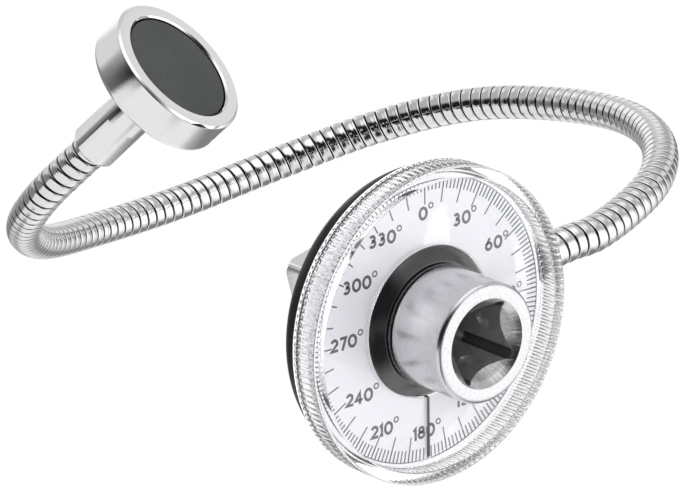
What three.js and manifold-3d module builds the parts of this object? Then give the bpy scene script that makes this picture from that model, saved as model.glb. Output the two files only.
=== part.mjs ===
// A torque angle gauge for half inch square drive. The spindle stands on +Z with the end face of its
// male square at the origin. A dial housing turns freely on the spindle and is held still by a bending
// metal arm with a magnet. A clear knurled cover with the pointer line is dragged round by the spindle.
import * as THREE from "three";
import { mergeVertices } from "three/addons/utils/BufferGeometryUtils.js";
import Module from "manifold-3d";

const wasm = await Module();
wasm.setup();

// Clearances
const seatGap = 0.3; // between pieces that rest on each other
const hubGap = 0.45; // between the cover's hub and its seat
const frictionGap = 0.1; // under the friction ring in its groove
const inlayGap = 0.12; // round the pointer line in its groove
const overrun = 2; // how far a cutting solid runs past what it cuts
const weldDistance = 1e-4; // points nearer than this are one point

// Facets round a circle
const fineSides = 48;
const roundSides = 36;
const smallSides = 20;
const tinySides = 12;

// Male square
const driveSize = 12.7;
const driveLength = 15.6;
const driveCorner = 1.1;
const driveEdge = 0.6; // bevel round the end face
const tipRadius = 7.7; // the corners are turned down to this at the end face
const tipTaper = 1.9;

// Journal, which is also the collar behind the housing
const journalRadius = 9.2;
const collarChamfer = 1;

// Dial housing
const housingBack = 27.5;
const housingDepth = 6.4;
const housingRim = housingBack + housingDepth; // height of its front rim
const housingRadius = 31.7;
const housingRounding = 4.3; // how far the rounded back draws in
const roundingHeight = 4.2; // up to where it meets the straight rim
const housingWall = 2;
const housingFloor = 2.6;
const bossRadius = 15;
const ribCount = 6;
const ribThickness = 1.4;
const ribDrop = 1.2; // how far the ribs end below the rim

// Dial face
const dialThickness = 1.08;
const dialInset = 0.7; // from the housing's edge
const dialRadius = housingRadius - dialInset;
const dialBore = 13.2;
const dialFront = housingRim + seatGap + dialThickness;

// Bearing bush
const bushWall = 1.3;
const bushFlangeRadius = 13.2;
const bushFlange = 1;
const bushProud = 0.6; // how far it stands out of the boss
const bushTop = housingRim + bushProud;

// Rear stack
const washerThickness = 0.9;
const washerWidth = 3.4;
const ringThickness = 1;
const ringWidth = 2.2;
const ringGrooveDepth = 0.9;
const ringMouthDeg = 46; // opening of the retaining ring
const ringMouthTurnDeg = 200; // where the opening lies
const ringEyeShare = 0.8; // of the ring's width

// Hub seat and friction ring
const seatRadius = 10.4;
const seatPlay = 0.5; // between the bush and the seat's shoulder
const seatBottom = bushTop + seatPlay;
const frictionWire = 0.6;

// Cone hub of the cover
const hubTopWall = 2.15;
const hubTopRadius = seatRadius + hubGap + hubTopWall;
const hubSpread = 2.9; // how far its foot reaches out past its top
const hubRadius = hubTopRadius + hubSpread;
const hubRim = 1; // height of its straight rim
const hubHeight = 3.2;
const hubBellyShare = 0.6; // of the spread, where its flank bends
const hubBellyHeightShare = 0.42; // of the flank's height

// Clear cover
const skirtGap = 0.4; // round the dial
const skirtWall = 1.9;
const ringStep = 0.8; // how far the upstanding ring reaches in past the skirt
const skirtInner = dialRadius + skirtGap;
const coverRadius = skirtInner + skirtWall; // to the tips of the knurl
const coverInner = skirtInner - ringStep;
const coverBack = housingRim + seatGap;
const coverHeight = 6.9;
const coverFront = coverBack + coverHeight;
const windowBack = dialFront + seatGap;
const windowThickness = 1.6;
const windowBore = hubRadius + seatGap;
const knurlCount = 144;
const knurlDepth = 0.35;

// Pointer line
const pointerWidth = 0.45;
const pointerThickness = 0.35;
const pointerInset = 1; // from the upstanding ring
const pointerReach = coverInner - pointerInset;
const pointerDeg = -104; // its place at rest, over the dial's half turn

// Slip washer behind the sleeve
const slipThickness = 0.57;
const slipWidth = 2.05;
const seatTop = windowBack + hubHeight + seatGap + slipThickness + seatGap; // the sleeve's start

// Sleeve with the female square
const sleeveRadius = 12.6;
const sleeveLength = 14.65;
const sleeveRound = 1.1;
const sleeveBackEdge = 0.35;
const socketSize = 12.9;
const socketDepth = 15.3;
const lobeRadius = 1.1; // relief in each corner of the female square
const lobeReach = 9; // from the axis to the bottom of the relief
const countersinkRadius = 9.4;
const dimpleRadius = 2.8;
const dimpleDepth = 1;
const dimpleFromFace = 8.2;

// Detent of the male square
const ballRadius = 2.4;
const ballProud = 0.9;
const ballHeight = 7.6;
const ballGap = 0.2;
const lipRadius = 2.25;
const lipThickness = 0.3;
const springBoreEnd = 2.1; // past the spindle's axis
const springWire = 0.28;
const springRadius = 1.5;
const springTurns = 4;
const springStepsPerTurn = 8;

// Arm: its start on the housing's lug, and its route from there to the magnet's ferrule, chosen by hand
const armExitDeg = -7;
const lugReach = 3.8; // how far the start stands out from the housing
const lugDrop = 2.5; // how far it lies below the rim
const armReach = housingRadius + lugReach;
const armHeight = housingRim - lugDrop;
const armRoute = [
  [0, 0, 0],
  [7.96, -0.98, 0],
  [15.76, -2.67, -0.4],
  [39.76, -5.17, -8.4],
  [55.26, -7.17, -22.4],
  [65.26, -10.17, -42.4],
  [67.26, -13.67, -67.9],
  [60.76, -16.67, -92.9],
  [46.76, -20.17, -111.4],
  [24.26, -22.67, -124.4],
  [-1.74, -21.17, -128.9],
  [-27.24, -14.17, -124.9],
  [-48.74, -3.17, -112.9],
  [-60.74, 10.83, -97.9],
  [-63.24, 24.33, -81.9],
  [-56.6, 35.52, -69.11],
  [-52.91, 39.99, -64.35],
];
const lengthSamples = 1600;
const armRadius = 4;
const armGroove = 0.42; // depth of the wave between two turns
const armBore = 2.2;
const coilRadius = 1.8;
const ribPitch = 2.76;
const armStretches = 6;
const armSides = 8;
const boreEvery = 3; // turns of the skin between two rings of its bore
const stepsPerRib = 20;
const crestShare = 0.2;
const valleyShare = 0.9;
const lastValleyShare = 0.8;

// Lug and end plug
const lugWidth = 8.6;
const lugRound = 2.6;
const lugDepth = 3; // how far the lug reaches in from the housing's edge
const spigotRadius = 1.9;
const spigotLength = 7.4;
const plugRadius = 1.8;
const plugLength = 6.8;
const setScrewRadius = 1.1;
const setScrewSlot = 0.4;
const setScrewInset = 2.6; // from the lug's end

// Magnet head, measured along its own axis from the face that grips
const headAxis = [0.4918, 0.5964, 0.6343];
const cupRadius = 15.9;
const cupDepth = 8.6;
const cupPocket = 6;
const cupBackRound = 1.3;
const cupEdge = 0.5;
const cupWall = 3.3;
const magnetRadius = cupRadius - cupWall - seatGap;
const magnetRecess = 0.45;
const headScrewRadius = 1.5;
const headScrewHead = 2.9;
const headScrewLength = 9.5;
const ferruleRadius = 5.15;
const ferruleLength = 20.1;
const ferruleFlats = 9.6; // across its six flats
const flatsLength = 10.6;
const ferruleChamfer = 0.7;
const armHoleDepth = 7.9;
const armEndGap = 0.4; // between the arm's end and the floor of its hole

// Colours and finishes
const finish = (color, roughness, metalness, more = {}) =>
  new THREE.MeshStandardMaterial({ color, roughness, metalness, ...more });
const chrome = finish(0xd9dadc, 0.18, 1);
const satinSteel = finish(0xc9cbce, 0.38, 1);
const springSteel = finish(0x8d9095, 0.4, 1);
const bronze = finish(0xb08a4e, 0.4, 1);
const blackPlastic = finish(0x141517, 0.35, 0);
const blackRubber = finish(0x101010, 0.8, 0);
const whitePrint = finish(0xf1f1f6, 0.5, 0);
const blackInk = finish(0x0b0b0c, 0.5, 0);
const ferrite = finish(0x4c504f, 0.85, 0);
const clearPlastic = finish(0xf2f6f8, 0.08, 0, { transparent: true, opacity: 0.3 });

const radians = THREE.MathUtils.degToRad;

// A closed geometry as a solid that can be joined and cut.
function solid(geometry) {
  const bare = geometry.clone();
  bare.deleteAttribute("normal");
  bare.deleteAttribute("uv");
  const merged = mergeVertices(bare, weldDistance);
  return new wasm.Manifold(
    new wasm.Mesh({
      numProp: 3,
      vertProperties: merged.attributes.position.array,
      triVerts: new Uint32Array(merged.index.array),
    }),
  );
}

// The solid's surface as a geometry again.
function surface(body) {
  const mesh = body.getMesh();
  const points = new Float32Array(mesh.numVert * 3);
  for (let i = 0; i < mesh.numVert; i++) {
    points.set(mesh.vertProperties.subarray(i * mesh.numProp, i * mesh.numProp + 3), i * 3);
  }
  const geometry = new THREE.BufferGeometry();
  geometry.setAttribute("position", new THREE.BufferAttribute(points, 3));
  geometry.setIndex(new THREE.BufferAttribute(new Uint32Array(mesh.triVerts), 1));
  geometry.computeVertexNormals();
  return geometry;
}

// A turned shape about +Z from its half outline of [radius, height] points, from low to high outside.
function turned(outline, sides) {
  const points = outline.map(([radius, height]) => new THREE.Vector2(radius, height));
  return new THREE.LatheGeometry(points, sides).rotateX(Math.PI / 2);
}

// A turned ring: the outline runs up the outside, down the inside and closes on itself.
function turnedRing(outline, sides) {
  return turned([...outline, outline[0]], sides);
}

// A quarter round between two ends of an outline, as points.
function quarter(centreRadius, centreHeight, size, fromDeg, toDeg, steps) {
  return Array.from({ length: steps + 1 }, (_, i) => {
    const angle = radians(fromDeg + ((toDeg - fromDeg) * i) / steps);
    return [centreRadius + size * Math.cos(angle), centreHeight + size * Math.sin(angle)];
  });
}

// A round bar along +Z from one height to another.
function bar(radius, from, to, sides) {
  return turned([[0, from], [radius, from], [radius, to], [0, to]], sides);
}

function mesh(name, geometry, material) {
  const made = new THREE.Mesh(geometry, material);
  made.name = name;
  return made;
}

// A square with rounded corners, about the origin.
function roundedSquare(size, corner) {
  const reach = (size / 2 - corner) * Math.SQRT2;
  const shape = new THREE.Shape();
  [0, 90, 180, 270].forEach((turn) => {
    const x = reach * Math.cos(radians(turn + 45));
    const y = reach * Math.sin(radians(turn + 45));
    shape.absarc(x, y, corner, radians(turn), radians(turn + 90));
  });
  shape.closePath();
  return shape;
}

// The female square: flats, with a round relief in each corner.
function socketShape() {
  const half = socketSize / 2;
  const centre = (lobeReach - lobeRadius) / Math.SQRT2;
  const opening = Math.acos((half - centre) / lobeRadius);
  const shape = new THREE.Shape();
  [0, 90, 180, 270].forEach((turn) => {
    const x = centre * Math.SQRT2 * Math.cos(radians(turn + 45));
    const y = centre * Math.SQRT2 * Math.sin(radians(turn + 45));
    shape.absarc(x, y, lobeRadius, radians(turn) - opening, radians(turn + 90) + opening);
  });
  shape.closePath();
  return shape;
}

const ballY = -(driveSize / 2 - ballRadius + ballProud);

// The male square with its turned-down corners and the cross bore for the detent.
function maleSquare() {
  const prism = new THREE.ExtrudeGeometry(roundedSquare(driveSize, driveCorner), {
    depth: driveLength + collarChamfer - driveEdge,
    bevelEnabled: true,
    bevelSegments: 2,
    bevelSize: driveEdge,
    bevelOffset: -driveEdge,
    bevelThickness: driveEdge,
    curveSegments: 4,
  }).translate(0, 0, driveEdge);
  const turnedDown = turned(
    [
      [0, 0],
      [tipRadius, 0],
      [journalRadius, tipTaper],
      [journalRadius, driveLength + collarChamfer + driveEdge],
      [0, driveLength + collarChamfer + driveEdge],
    ],
    roundSides,
  );
  const boreRadius = ballRadius + ballGap;
  const bore = bar(boreRadius, -springBoreEnd, driveSize / 2 - lipThickness, smallSides);
  const mouth = bar(lipRadius, 0, driveSize / 2 + overrun, smallSides);
  const across = (geometry) => solid(geometry.rotateX(Math.PI / 2).translate(0, 0, ballHeight));
  return solid(prism).intersect(solid(turnedDown)).subtract(across(bore)).subtract(across(mouth));
}

const sleeveFace = seatTop + sleeveLength;
const frictionHeight = windowBack + hubHeight / 2;
const grooveTop = housingBack - seatGap - bushFlange - seatGap - washerThickness;
const grooveBottom = grooveTop - ringThickness - seatGap * 2;

// Collar, journal with the ring's groove, hub seat with the friction ring's groove, and sleeve.
function turnedSpindle() {
  const grooveRadius = journalRadius - ringGrooveDepth;
  const frictionFloor = seatRadius - frictionWire * 2 - frictionGap;
  const frictionHalf = frictionWire + seatGap;
  return turned(
    [
      [0, driveLength - collarChamfer],
      [driveSize / 2, driveLength - collarChamfer],
      [journalRadius, driveLength],
      [journalRadius, grooveBottom],
      [grooveRadius, grooveBottom],
      [grooveRadius, grooveTop],
      [journalRadius, grooveTop],
      [journalRadius, seatBottom],
      [seatRadius, seatBottom],
      [seatRadius, frictionHeight - frictionHalf],
      [frictionFloor, frictionHeight - frictionHalf],
      [frictionFloor, frictionHeight + frictionHalf],
      [seatRadius, frictionHeight + frictionHalf],
      [seatRadius, seatTop],
      [sleeveRadius - sleeveBackEdge, seatTop],
      [sleeveRadius, seatTop + sleeveBackEdge],
      ...quarter(sleeveRadius - sleeveRound, sleeveFace - sleeveRound, sleeveRound, 0, 90, 3),
      [0, sleeveFace],
    ],
    roundSides,
  );
}

function driveSpindle() {
  const socket = new THREE.ExtrudeGeometry(socketShape(), {
    depth: socketDepth + overrun,
    bevelEnabled: false,
    curveSegments: 6,
  }).translate(0, 0, sleeveFace - socketDepth);
  const sinkDepth = countersinkRadius;
  const countersink = turned(
    [
      [0, sleeveFace - sinkDepth],
      [countersinkRadius + overrun, sleeveFace + overrun],
      [0, sleeveFace + overrun],
    ],
    roundSides,
  );
  let body = solid(turnedSpindle()).add(maleSquare());
  body = body.subtract(solid(socket)).subtract(solid(countersink));
  const dimpleOut = socketSize / 2 - dimpleRadius + dimpleDepth;
  for (let quarterTurn = 0; quarterTurn < 4; quarterTurn++) {
    const dimple = new THREE.SphereGeometry(dimpleRadius, tinySides, tinySides / 2)
      .translate(dimpleOut, 0, sleeveFace - dimpleFromFace)
      .rotateZ((quarterTurn * Math.PI) / 2);
    body = body.subtract(solid(dimple));
  }
  return surface(body);
}

// The detent spring's wire runs round the cross bore's axis, which lies along Y.
class SpringLine extends THREE.Curve {
  constructor(from, to) {
    super();
    this.from = from;
    this.to = to;
  }
  getPoint(t, target = new THREE.Vector3()) {
    const angle = t * springTurns * Math.PI * 2;
    const y = this.from + (this.to - this.from) * t;
    return target.set(springRadius * Math.cos(angle), y, ballHeight + springRadius * Math.sin(angle));
  }
}

function detentSpring() {
  const from = springBoreEnd - seatGap - springWire;
  const to = ballY + ballRadius + seatGap / 2 + springWire;
  const section = new THREE.Shape().absarc(0, 0, springWire, 0, Math.PI * 2);
  return new THREE.ExtrudeGeometry(section, {
    steps: springTurns * springStepsPerTurn,
    extrudePath: new SpringLine(from, to),
    curveSegments: 3,
    bevelEnabled: false,
  });
}

function frictionRing() {
  const centre = seatRadius - frictionWire + frictionGap;
  return turned(quarter(centre, frictionHeight, frictionWire, 0, 360, 8), roundSides);
}

// A flat ring between two heights.
function flatRing(inner, outer, from, to, sides) {
  return turnedRing([[inner, from], [outer, from], [outer, to], [inner, to]], sides);
}

// The open ring that snaps into the journal's groove, with an eye at each end of its mouth.
function retainingRing() {
  const inner = journalRadius - ringGrooveDepth + seatGap;
  const outer = inner + ringWidth;
  const half = radians(ringMouthDeg / 2);
  const eye = outer + (ringWidth * ringEyeShare) / 2;
  const shape = new THREE.Shape();
  shape.absarc(0, 0, outer, half, Math.PI * 2 - half);
  shape.lineTo(eye * Math.cos(half), -eye * Math.sin(half));
  shape.lineTo(inner * Math.cos(half), -inner * Math.sin(half));
  shape.absarc(0, 0, inner, Math.PI * 2 - half, half, true);
  shape.lineTo(eye * Math.cos(half), eye * Math.sin(half));
  shape.closePath();
  return new THREE.ExtrudeGeometry(shape, {
    depth: ringThickness,
    bevelEnabled: false,
    curveSegments: smallSides,
  })
    .rotateZ(radians(ringMouthTurnDeg))
    .translate(0, 0, grooveBottom + seatGap);
}

function bearingBush() {
  const inner = journalRadius + seatGap;
  const bottom = housingBack - seatGap - bushFlange;
  return turnedRing(
    [
      [inner, bottom],
      [bushFlangeRadius, bottom],
      [bushFlangeRadius, bottom + bushFlange],
      [inner + bushWall, bottom + bushFlange],
      [inner + bushWall, bushTop],
      [inner, bushTop],
    ],
    roundSides,
  );
}

// Where the arm leaves the housing, level and straight outwards.
const armExit = radians(armExitDeg);
const armStart = new THREE.Vector3(
  armReach * Math.cos(armExit),
  armReach * Math.sin(armExit),
  armHeight,
);
const lugEnd = armReach - seatGap;
const lugRoot = housingRadius - lugDepth;

// Turns a geometry built along +X at the spindle's axis to where the arm leaves.
function towardsArm(geometry) {
  return geometry.rotateZ(armExit);
}

// A bar along the arm's exit, between two distances from the spindle's axis.
function exitBar(radius, from, to, sides) {
  return towardsArm(bar(radius, from, to, sides).rotateY(Math.PI / 2).translate(0, 0, armHeight));
}

// The lug's cross-section, flat on top like the rim, rounded below.
function lugGeometry() {
  const half = lugWidth / 2;
  const shape = new THREE.Shape();
  shape.moveTo(-half, housingRim);
  shape.lineTo(-half, housingBack + lugRound);
  shape.absarc(-half + lugRound, housingBack + lugRound, lugRound, Math.PI, Math.PI * 1.5);
  shape.absarc(half - lugRound, housingBack + lugRound, lugRound, Math.PI * 1.5, Math.PI * 2);
  shape.lineTo(half, housingRim);
  shape.closePath();
  const block = new THREE.ExtrudeGeometry(shape, {
    depth: lugEnd - lugRoot,
    bevelEnabled: false,
    curveSegments: 4,
  });
  block.rotateX(Math.PI / 2).rotateZ(Math.PI / 2).translate(lugRoot, 0, 0);
  return towardsArm(block);
}

// The bowl of the housing with its boss and ribs, the arm's lug and the holes in it.
function backHousing() {
  const boreRadius = journalRadius + seatGap + bushWall + seatGap;
  const wallInner = housingRadius - housingWall;
  const floor = housingBack + housingFloor;
  const housingBackRadius = housingRadius - housingRounding;
  const widen = housingRounding / roundingHeight;
  const backRound = quarter(0, 0, roundingHeight, -90, 0, 4).map(([across, up]) => [
    housingBackRadius + across * widen,
    housingBack + roundingHeight + up,
  ]);
  const innerRound = backRound
    .map(([radius, height]) => [radius - housingWall, Math.max(height, floor)])
    .reverse();
  const bowl = turnedRing(
    [
      [boreRadius, housingBack],
      ...backRound,
      [housingRadius, housingRim],
      [wallInner, housingRim],
      ...innerRound.filter(([, height]) => height > floor),
      [housingBackRadius - housingWall, floor],
      [bossRadius, floor],
      [bossRadius, housingRim],
      [boreRadius, housingRim],
    ],
    fineSides,
  );
  let body = solid(bowl).add(solid(lugGeometry()));
  const inside = solid(
    bar(wallInner + housingWall / 2, housingBack + housingFloor / 2, housingRim, fineSides),
  );
  const ribLength = wallInner - bossRadius + housingWall;
  const ribMiddle = (bossRadius + wallInner) / 2;
  const ribTop = housingRim - ribDrop;
  for (let i = 0; i < ribCount; i++) {
    const rib = new THREE.BoxGeometry(ribLength, ribThickness, ribTop - housingBack)
      .translate(ribMiddle, 0, (ribTop + housingBack) / 2)
      .rotateZ(armExit + ((i + 0.5) * Math.PI * 2) / ribCount);
    body = body.add(solid(rib).intersect(inside));
  }
  const holeStart = lugRoot - housingWall * 2;
  const spigotHole = exitBar(spigotRadius + seatGap, holeStart, lugEnd + overrun, smallSides);
  const screwHole = bar(setScrewRadius + seatGap / 2, housingBack - overrun, armHeight, tinySides);
  screwHole.translate(lugEnd - setScrewInset, 0, 0);
  return surface(body.subtract(solid(spigotHole)).subtract(solid(towardsArm(screwHole))));
}

// The plug: a spigot in the lug and a shank in the arm's bore.
function armPlug() {
  const spigot = exitBar(spigotRadius, lugEnd - spigotLength, armReach + seatGap, smallSides);
  const shank = exitBar(plugRadius, armReach, armReach + plugLength, smallSides);
  return surface(solid(spigot).add(solid(shank)));
}

function armSetScrew() {
  const bottom = housingBack + seatGap;
  const top = armHeight - spigotRadius - seatGap / 2;
  const screw = solid(bar(setScrewRadius, bottom, top, tinySides));
  const slot = new THREE.BoxGeometry(setScrewRadius * 2 + overrun, setScrewSlot, setScrewSlot * 2);
  const slotted = surface(screw.subtract(solid(slot.translate(0, 0, bottom))));
  return towardsArm(slotted.translate(lugEnd - setScrewInset, 0, 0));
}

// A circle of points whose radius goes between two values, count times round.
function knurlShape() {
  const shape = new THREE.Shape();
  for (let i = 0; i < knurlCount * 2; i++) {
    const radius = i % 2 ? coverRadius : coverRadius - knurlDepth;
    const angle = (i * Math.PI) / knurlCount;
    if (i) shape.lineTo(radius * Math.cos(angle), radius * Math.sin(angle));
    else shape.moveTo(radius, 0);
  }
  shape.closePath();
  shape.holes.push(new THREE.Path().absarc(0, 0, skirtInner, 0, Math.PI * 2));
  return shape;
}

// The cover: a knurled ring, the window across it, and the groove for the pointer line.
function clearCover() {
  const ring = new THREE.ExtrudeGeometry(knurlShape(), {
    depth: coverFront - coverBack,
    bevelEnabled: false,
    curveSegments: fineSides / 2,
  }).translate(0, 0, coverBack);
  const plate = turnedRing(
    [
      [windowBore, windowBack],
      [skirtInner + seatGap, windowBack],
      [skirtInner + seatGap, coverFront],
      [coverInner, coverFront],
      [coverInner, windowBack + windowThickness],
      [windowBore, windowBack + windowThickness],
    ],
    fineSides,
  );
  const groove = new THREE.BoxGeometry(
    pointerReach - windowBore + inlayGap + overrun,
    pointerWidth + inlayGap * 2,
    (pointerThickness + inlayGap) * 2,
  )
    .translate((pointerReach + windowBore + inlayGap - overrun) / 2, 0, windowBack)
    .rotateZ(radians(pointerDeg));
  return surface(solid(ring).add(solid(plate)).subtract(solid(groove)));
}

function pointerLine() {
  const from = windowBore + inlayGap;
  return new THREE.BoxGeometry(pointerReach - from, pointerWidth, pointerThickness)
    .translate((pointerReach + from) / 2, 0, windowBack + pointerThickness / 2)
    .rotateZ(radians(pointerDeg));
}

function coverHub() {
  const inner = seatRadius + hubGap;
  const bellyHeight = windowBack + hubRim + (hubHeight - hubRim) * hubBellyHeightShare;
  return turnedRing(
    [
      [inner, windowBack],
      [hubRadius, windowBack],
      [hubRadius, windowBack + hubRim],
      [hubTopRadius + hubSpread * hubBellyShare, bellyHeight],
      [hubTopRadius, windowBack + hubHeight],
      [inner, windowBack + hubHeight],
    ],
    fineSides,
  );
}

// The arm's line, with an upright frame carried along it without twist.
const armLine = new THREE.CatmullRomCurve3(
  armRoute.map((point) => new THREE.Vector3(...point).add(armStart)),
  false,
  "centripetal",
);
armLine.arcLengthDivisions = lengthSamples;
const armLength = armLine.getLength();
const armRibs = Math.round(armLength / ribPitch);
const armSteps = armRibs * stepsPerRib;
const armFrames = armLine.computeFrenetFrames(armSteps);
const armPoints = Array.from({ length: armSteps + 1 }, (_, i) => armLine.getPointAt(i / armSteps));
const stretchStarts = Array.from({ length: armStretches + 1 }, (_, i) =>
  Math.round((i * armRibs) / armStretches),
);

// The points of a ring round the arm's line at one step.
function armRing(step, radius) {
  const at = Math.min(Math.max(Math.round(step), 0), armSteps);
  return Array.from({ length: armSides }, (_, i) => {
    const angle = ((i + 0.5) * Math.PI * 2) / armSides;
    return armPoints[at]
      .clone()
      .addScaledVector(armFrames.normals[at], radius * Math.cos(angle))
      .addScaledVector(armFrames.binormals[at], radius * Math.sin(angle));
  });
}

// Joins rings of equal count into a tube. A closed tube runs back to its first ring, and otherwise the
// ends are closed by the given end points.
function skinned(rings, endPoints) {
  const points = rings.flat();
  const faces = [];
  const count = rings[0].length;
  const last = endPoints ? rings.length - 1 : rings.length;
  for (let i = 0; i < last; i++) {
    const a = i * count;
    const b = ((i + 1) % rings.length) * count;
    for (let j = 0; j < count; j++) {
      const k = (j + 1) % count;
      faces.push(a + j, a + k, b + k, a + j, b + k, b + j);
    }
  }
  if (endPoints) {
    const first = points.length;
    points.push(...endPoints);
    const top = (rings.length - 1) * count;
    for (let j = 0; j < count; j++) {
      const k = (j + 1) % count;
      faces.push(first, k, j, first + 1, top + j, top + k);
    }
  }
  const geometry = new THREE.BufferGeometry().setFromPoints(points);
  geometry.setIndex(faces);
  geometry.computeVertexNormals();
  return geometry;
}

// The steps where the bore of a stretch and the coil inside it have their rings.
function boreSteps(from, to) {
  const count = Math.max(1, Math.round((to - from) / (boreEvery * stepsPerRib)));
  return Array.from({ length: count + 1 }, (_, i) => from + ((to - from) * i) / count);
}

// The ends of a stretch of the arm, in steps. Stretches stay apart where the arm bends.
function stretchEnds(index) {
  const from = stretchStarts[index] * stepsPerRib;
  const to = stretchStarts[index + 1] * stepsPerRib;
  const first = index === 0 ? from : from + crestShare * stepsPerRib;
  const last = index === armStretches - 1 ? to : to - (1 - lastValleyShare) * stepsPerRib;
  return [first, last];
}

// One stretch of the wound skin: a crest and a valley for every turn, and the bore.
function armStretch(index) {
  const [first, last] = stretchEnds(index);
  const rings = [];
  for (let rib = stretchStarts[index]; rib < stretchStarts[index + 1]; rib++) {
    const crest = (rib + crestShare) * stepsPerRib;
    const valley = (rib + valleyShare) * stepsPerRib;
    rings.push(armRing(Math.max(crest, first), armRadius));
    rings.push(armRing(Math.min(valley, last), armRadius - armGroove));
  }
  if (index === 0) rings.unshift(armRing(first, armRadius - armGroove));
  if (index === armStretches - 1) rings.push(armRing(last, armRadius));
  const bore = boreSteps(first, last).reverse();
  return skinned([...rings, ...bore.map((step) => armRing(step, armBore))]);
}

// The inner coil of one stretch, with round ends that meet the next stretch's at the bend's centre.
function innerCoil(index) {
  const [first, last] = stretchEnds(index);
  const stepLength = armLength / armSteps;
  const bendGap = (coilRadius + seatGap / 2) / stepLength;
  const start = stretchStarts[index] * stepsPerRib;
  const end = stretchStarts[index + 1] * stepsPerRib;
  const from = index === 0 ? (plugLength + seatGap + coilRadius) / stepLength : start + bendGap;
  const to = index === armStretches - 1 ? end - (coilRadius + seatGap) / stepLength : end - bendGap;
  const inside = boreSteps(first, last).filter(
    (step) => step > from + stepsPerRib / 2 && step < to - stepsPerRib / 2,
  );
  const round = (at, way, shares) =>
    shares.map((share) => {
      const size = coilRadius * Math.cos(share * Math.PI / 2);
      const centre = armPoints[Math.round(at)];
      const along = armFrames.tangents[Math.round(at)];
      const shift = way * coilRadius * Math.sin(share * Math.PI / 2);
      return armRing(at, size).map((point) => point.addScaledVector(along, shift));
    });
  const tip = (at, way) => {
    const along = armFrames.tangents[Math.round(at)];
    return armPoints[Math.round(at)].clone().addScaledVector(along, way * coilRadius);
  };
  const roundShares = [0, 1 / 3, 2 / 3];
  const rings = [
    ...round(from, -1, [...roundShares].reverse()),
    ...inside.map((step) => armRing(step, coilRadius)),
    ...round(to, 1, roundShares),
  ];
  return skinned(rings, [tip(from, -1), tip(to, 1)]);
}

// Magnet head: built along +Z with the gripping face at zero, then set on the arm's end.
function magnetCup() {
  const floor = -cupPocket;
  const throat = headScrewRadius + seatGap;
  const sink = headScrewHead + seatGap - throat;
  return turnedRing(
    [
      [throat, -cupDepth],
      ...quarter(cupRadius - cupBackRound, cupBackRound - cupDepth, cupBackRound, -90, 0, 3),
      [cupRadius, -cupEdge],
      [cupRadius - cupEdge, 0],
      [magnetRadius + seatGap, 0],
      [magnetRadius + seatGap, floor],
      [throat + sink, floor],
      [throat, floor - sink],
    ],
    fineSides,
  );
}

function magnetDisc() {
  return bar(magnetRadius, seatGap - cupPocket, -magnetRecess, fineSides);
}

function headScrew() {
  const top = -cupPocket - seatGap / 2;
  const cone = headScrewHead - headScrewRadius;
  return turned(
    [
      [0, top - headScrewLength],
      [headScrewRadius, top - headScrewLength],
      [headScrewRadius, top - cone],
      [headScrewHead, top],
      [0, top],
    ],
    smallSides,
  );
}

function magnetFerrule() {
  const top = -cupDepth - seatGap;
  const bottom = top - ferruleLength;
  const round = solid(
    turned(
      [
        [0, bottom],
        [ferruleRadius - ferruleChamfer, bottom],
        [ferruleRadius, bottom + ferruleChamfer],
        [ferruleRadius, top],
        [0, top],
      ],
      roundSides,
    ),
  );
  let body = round;
  for (let i = 0; i < 6; i++) {
    const flat = new THREE.BoxGeometry(overrun, ferruleRadius * 2, flatsLength + overrun)
      .translate(ferruleFlats / 2 + overrun / 2, 0, bottom + (flatsLength - overrun) / 2)
      .rotateZ((i * Math.PI) / 3);
    body = body.subtract(solid(flat));
  }
  const armHole = bar(armRadius + seatGap, bottom - overrun, bottom + armHoleDepth, smallSides);
  const screwHole = bar(headScrewRadius + seatGap, top - headScrewLength, top + overrun, smallSides);
  return surface(body.subtract(solid(armHole)).subtract(solid(screwHole)));
}

// The whole gauge
const gauge = new THREE.Group();

const slipInner = seatRadius + seatGap;
const slipTop = seatTop - seatGap;
const slipWasher = flatRing(
  slipInner,
  slipInner + slipWidth,
  slipTop - slipThickness,
  slipTop,
  roundSides,
);
const washerInner = journalRadius + seatGap;
const thrustWasher = flatRing(
  washerInner,
  washerInner + washerWidth,
  grooveTop,
  grooveTop + washerThickness,
  roundSides,
);
const dialPlate = flatRing(dialBore, dialRadius, housingRim + seatGap, dialFront, fineSides);

const spindleGroup = new THREE.Group();
spindleGroup.add(
  mesh("drive_spindle", driveSpindle(), chrome),
  mesh("friction_ring", frictionRing(), blackRubber),
  mesh("slip_washer", slipWasher, blackPlastic),
  mesh("thrust_washer", thrustWasher, satinSteel),
  mesh("retaining_ring", retainingRing(), springSteel),
  mesh("detent_spring", detentSpring(), springSteel),
);
const ball = mesh("detent_ball", new THREE.SphereGeometry(ballRadius, smallSides, tinySides), chrome);
ball.position.set(0, ballY, ballHeight);
spindleGroup.add(ball);

const housingGroup = new THREE.Group();
housingGroup.add(
  mesh("back_housing", backHousing(), blackPlastic),
  mesh("dial_face", dialPlate, whitePrint),
  mesh("bearing_bush", bearingBush(), bronze),
  mesh("arm_plug", armPlug(), satinSteel),
  mesh("arm_set_screw", armSetScrew(), springSteel),
);

const coverGroup = new THREE.Group();
coverGroup.add(
  mesh("clear_cover", clearCover(), clearPlastic),
  mesh("cover_hub", coverHub(), blackPlastic),
  mesh("pointer_line", pointerLine(), blackInk),
);

const armGroup = new THREE.Group();
for (let i = 0; i < armStretches; i++) {
  armGroup.add(mesh("hose_" + (i + 1), armStretch(i), satinSteel));
  armGroup.add(mesh("inner_coil_" + (i + 1), innerCoil(i), springSteel));
}

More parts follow.
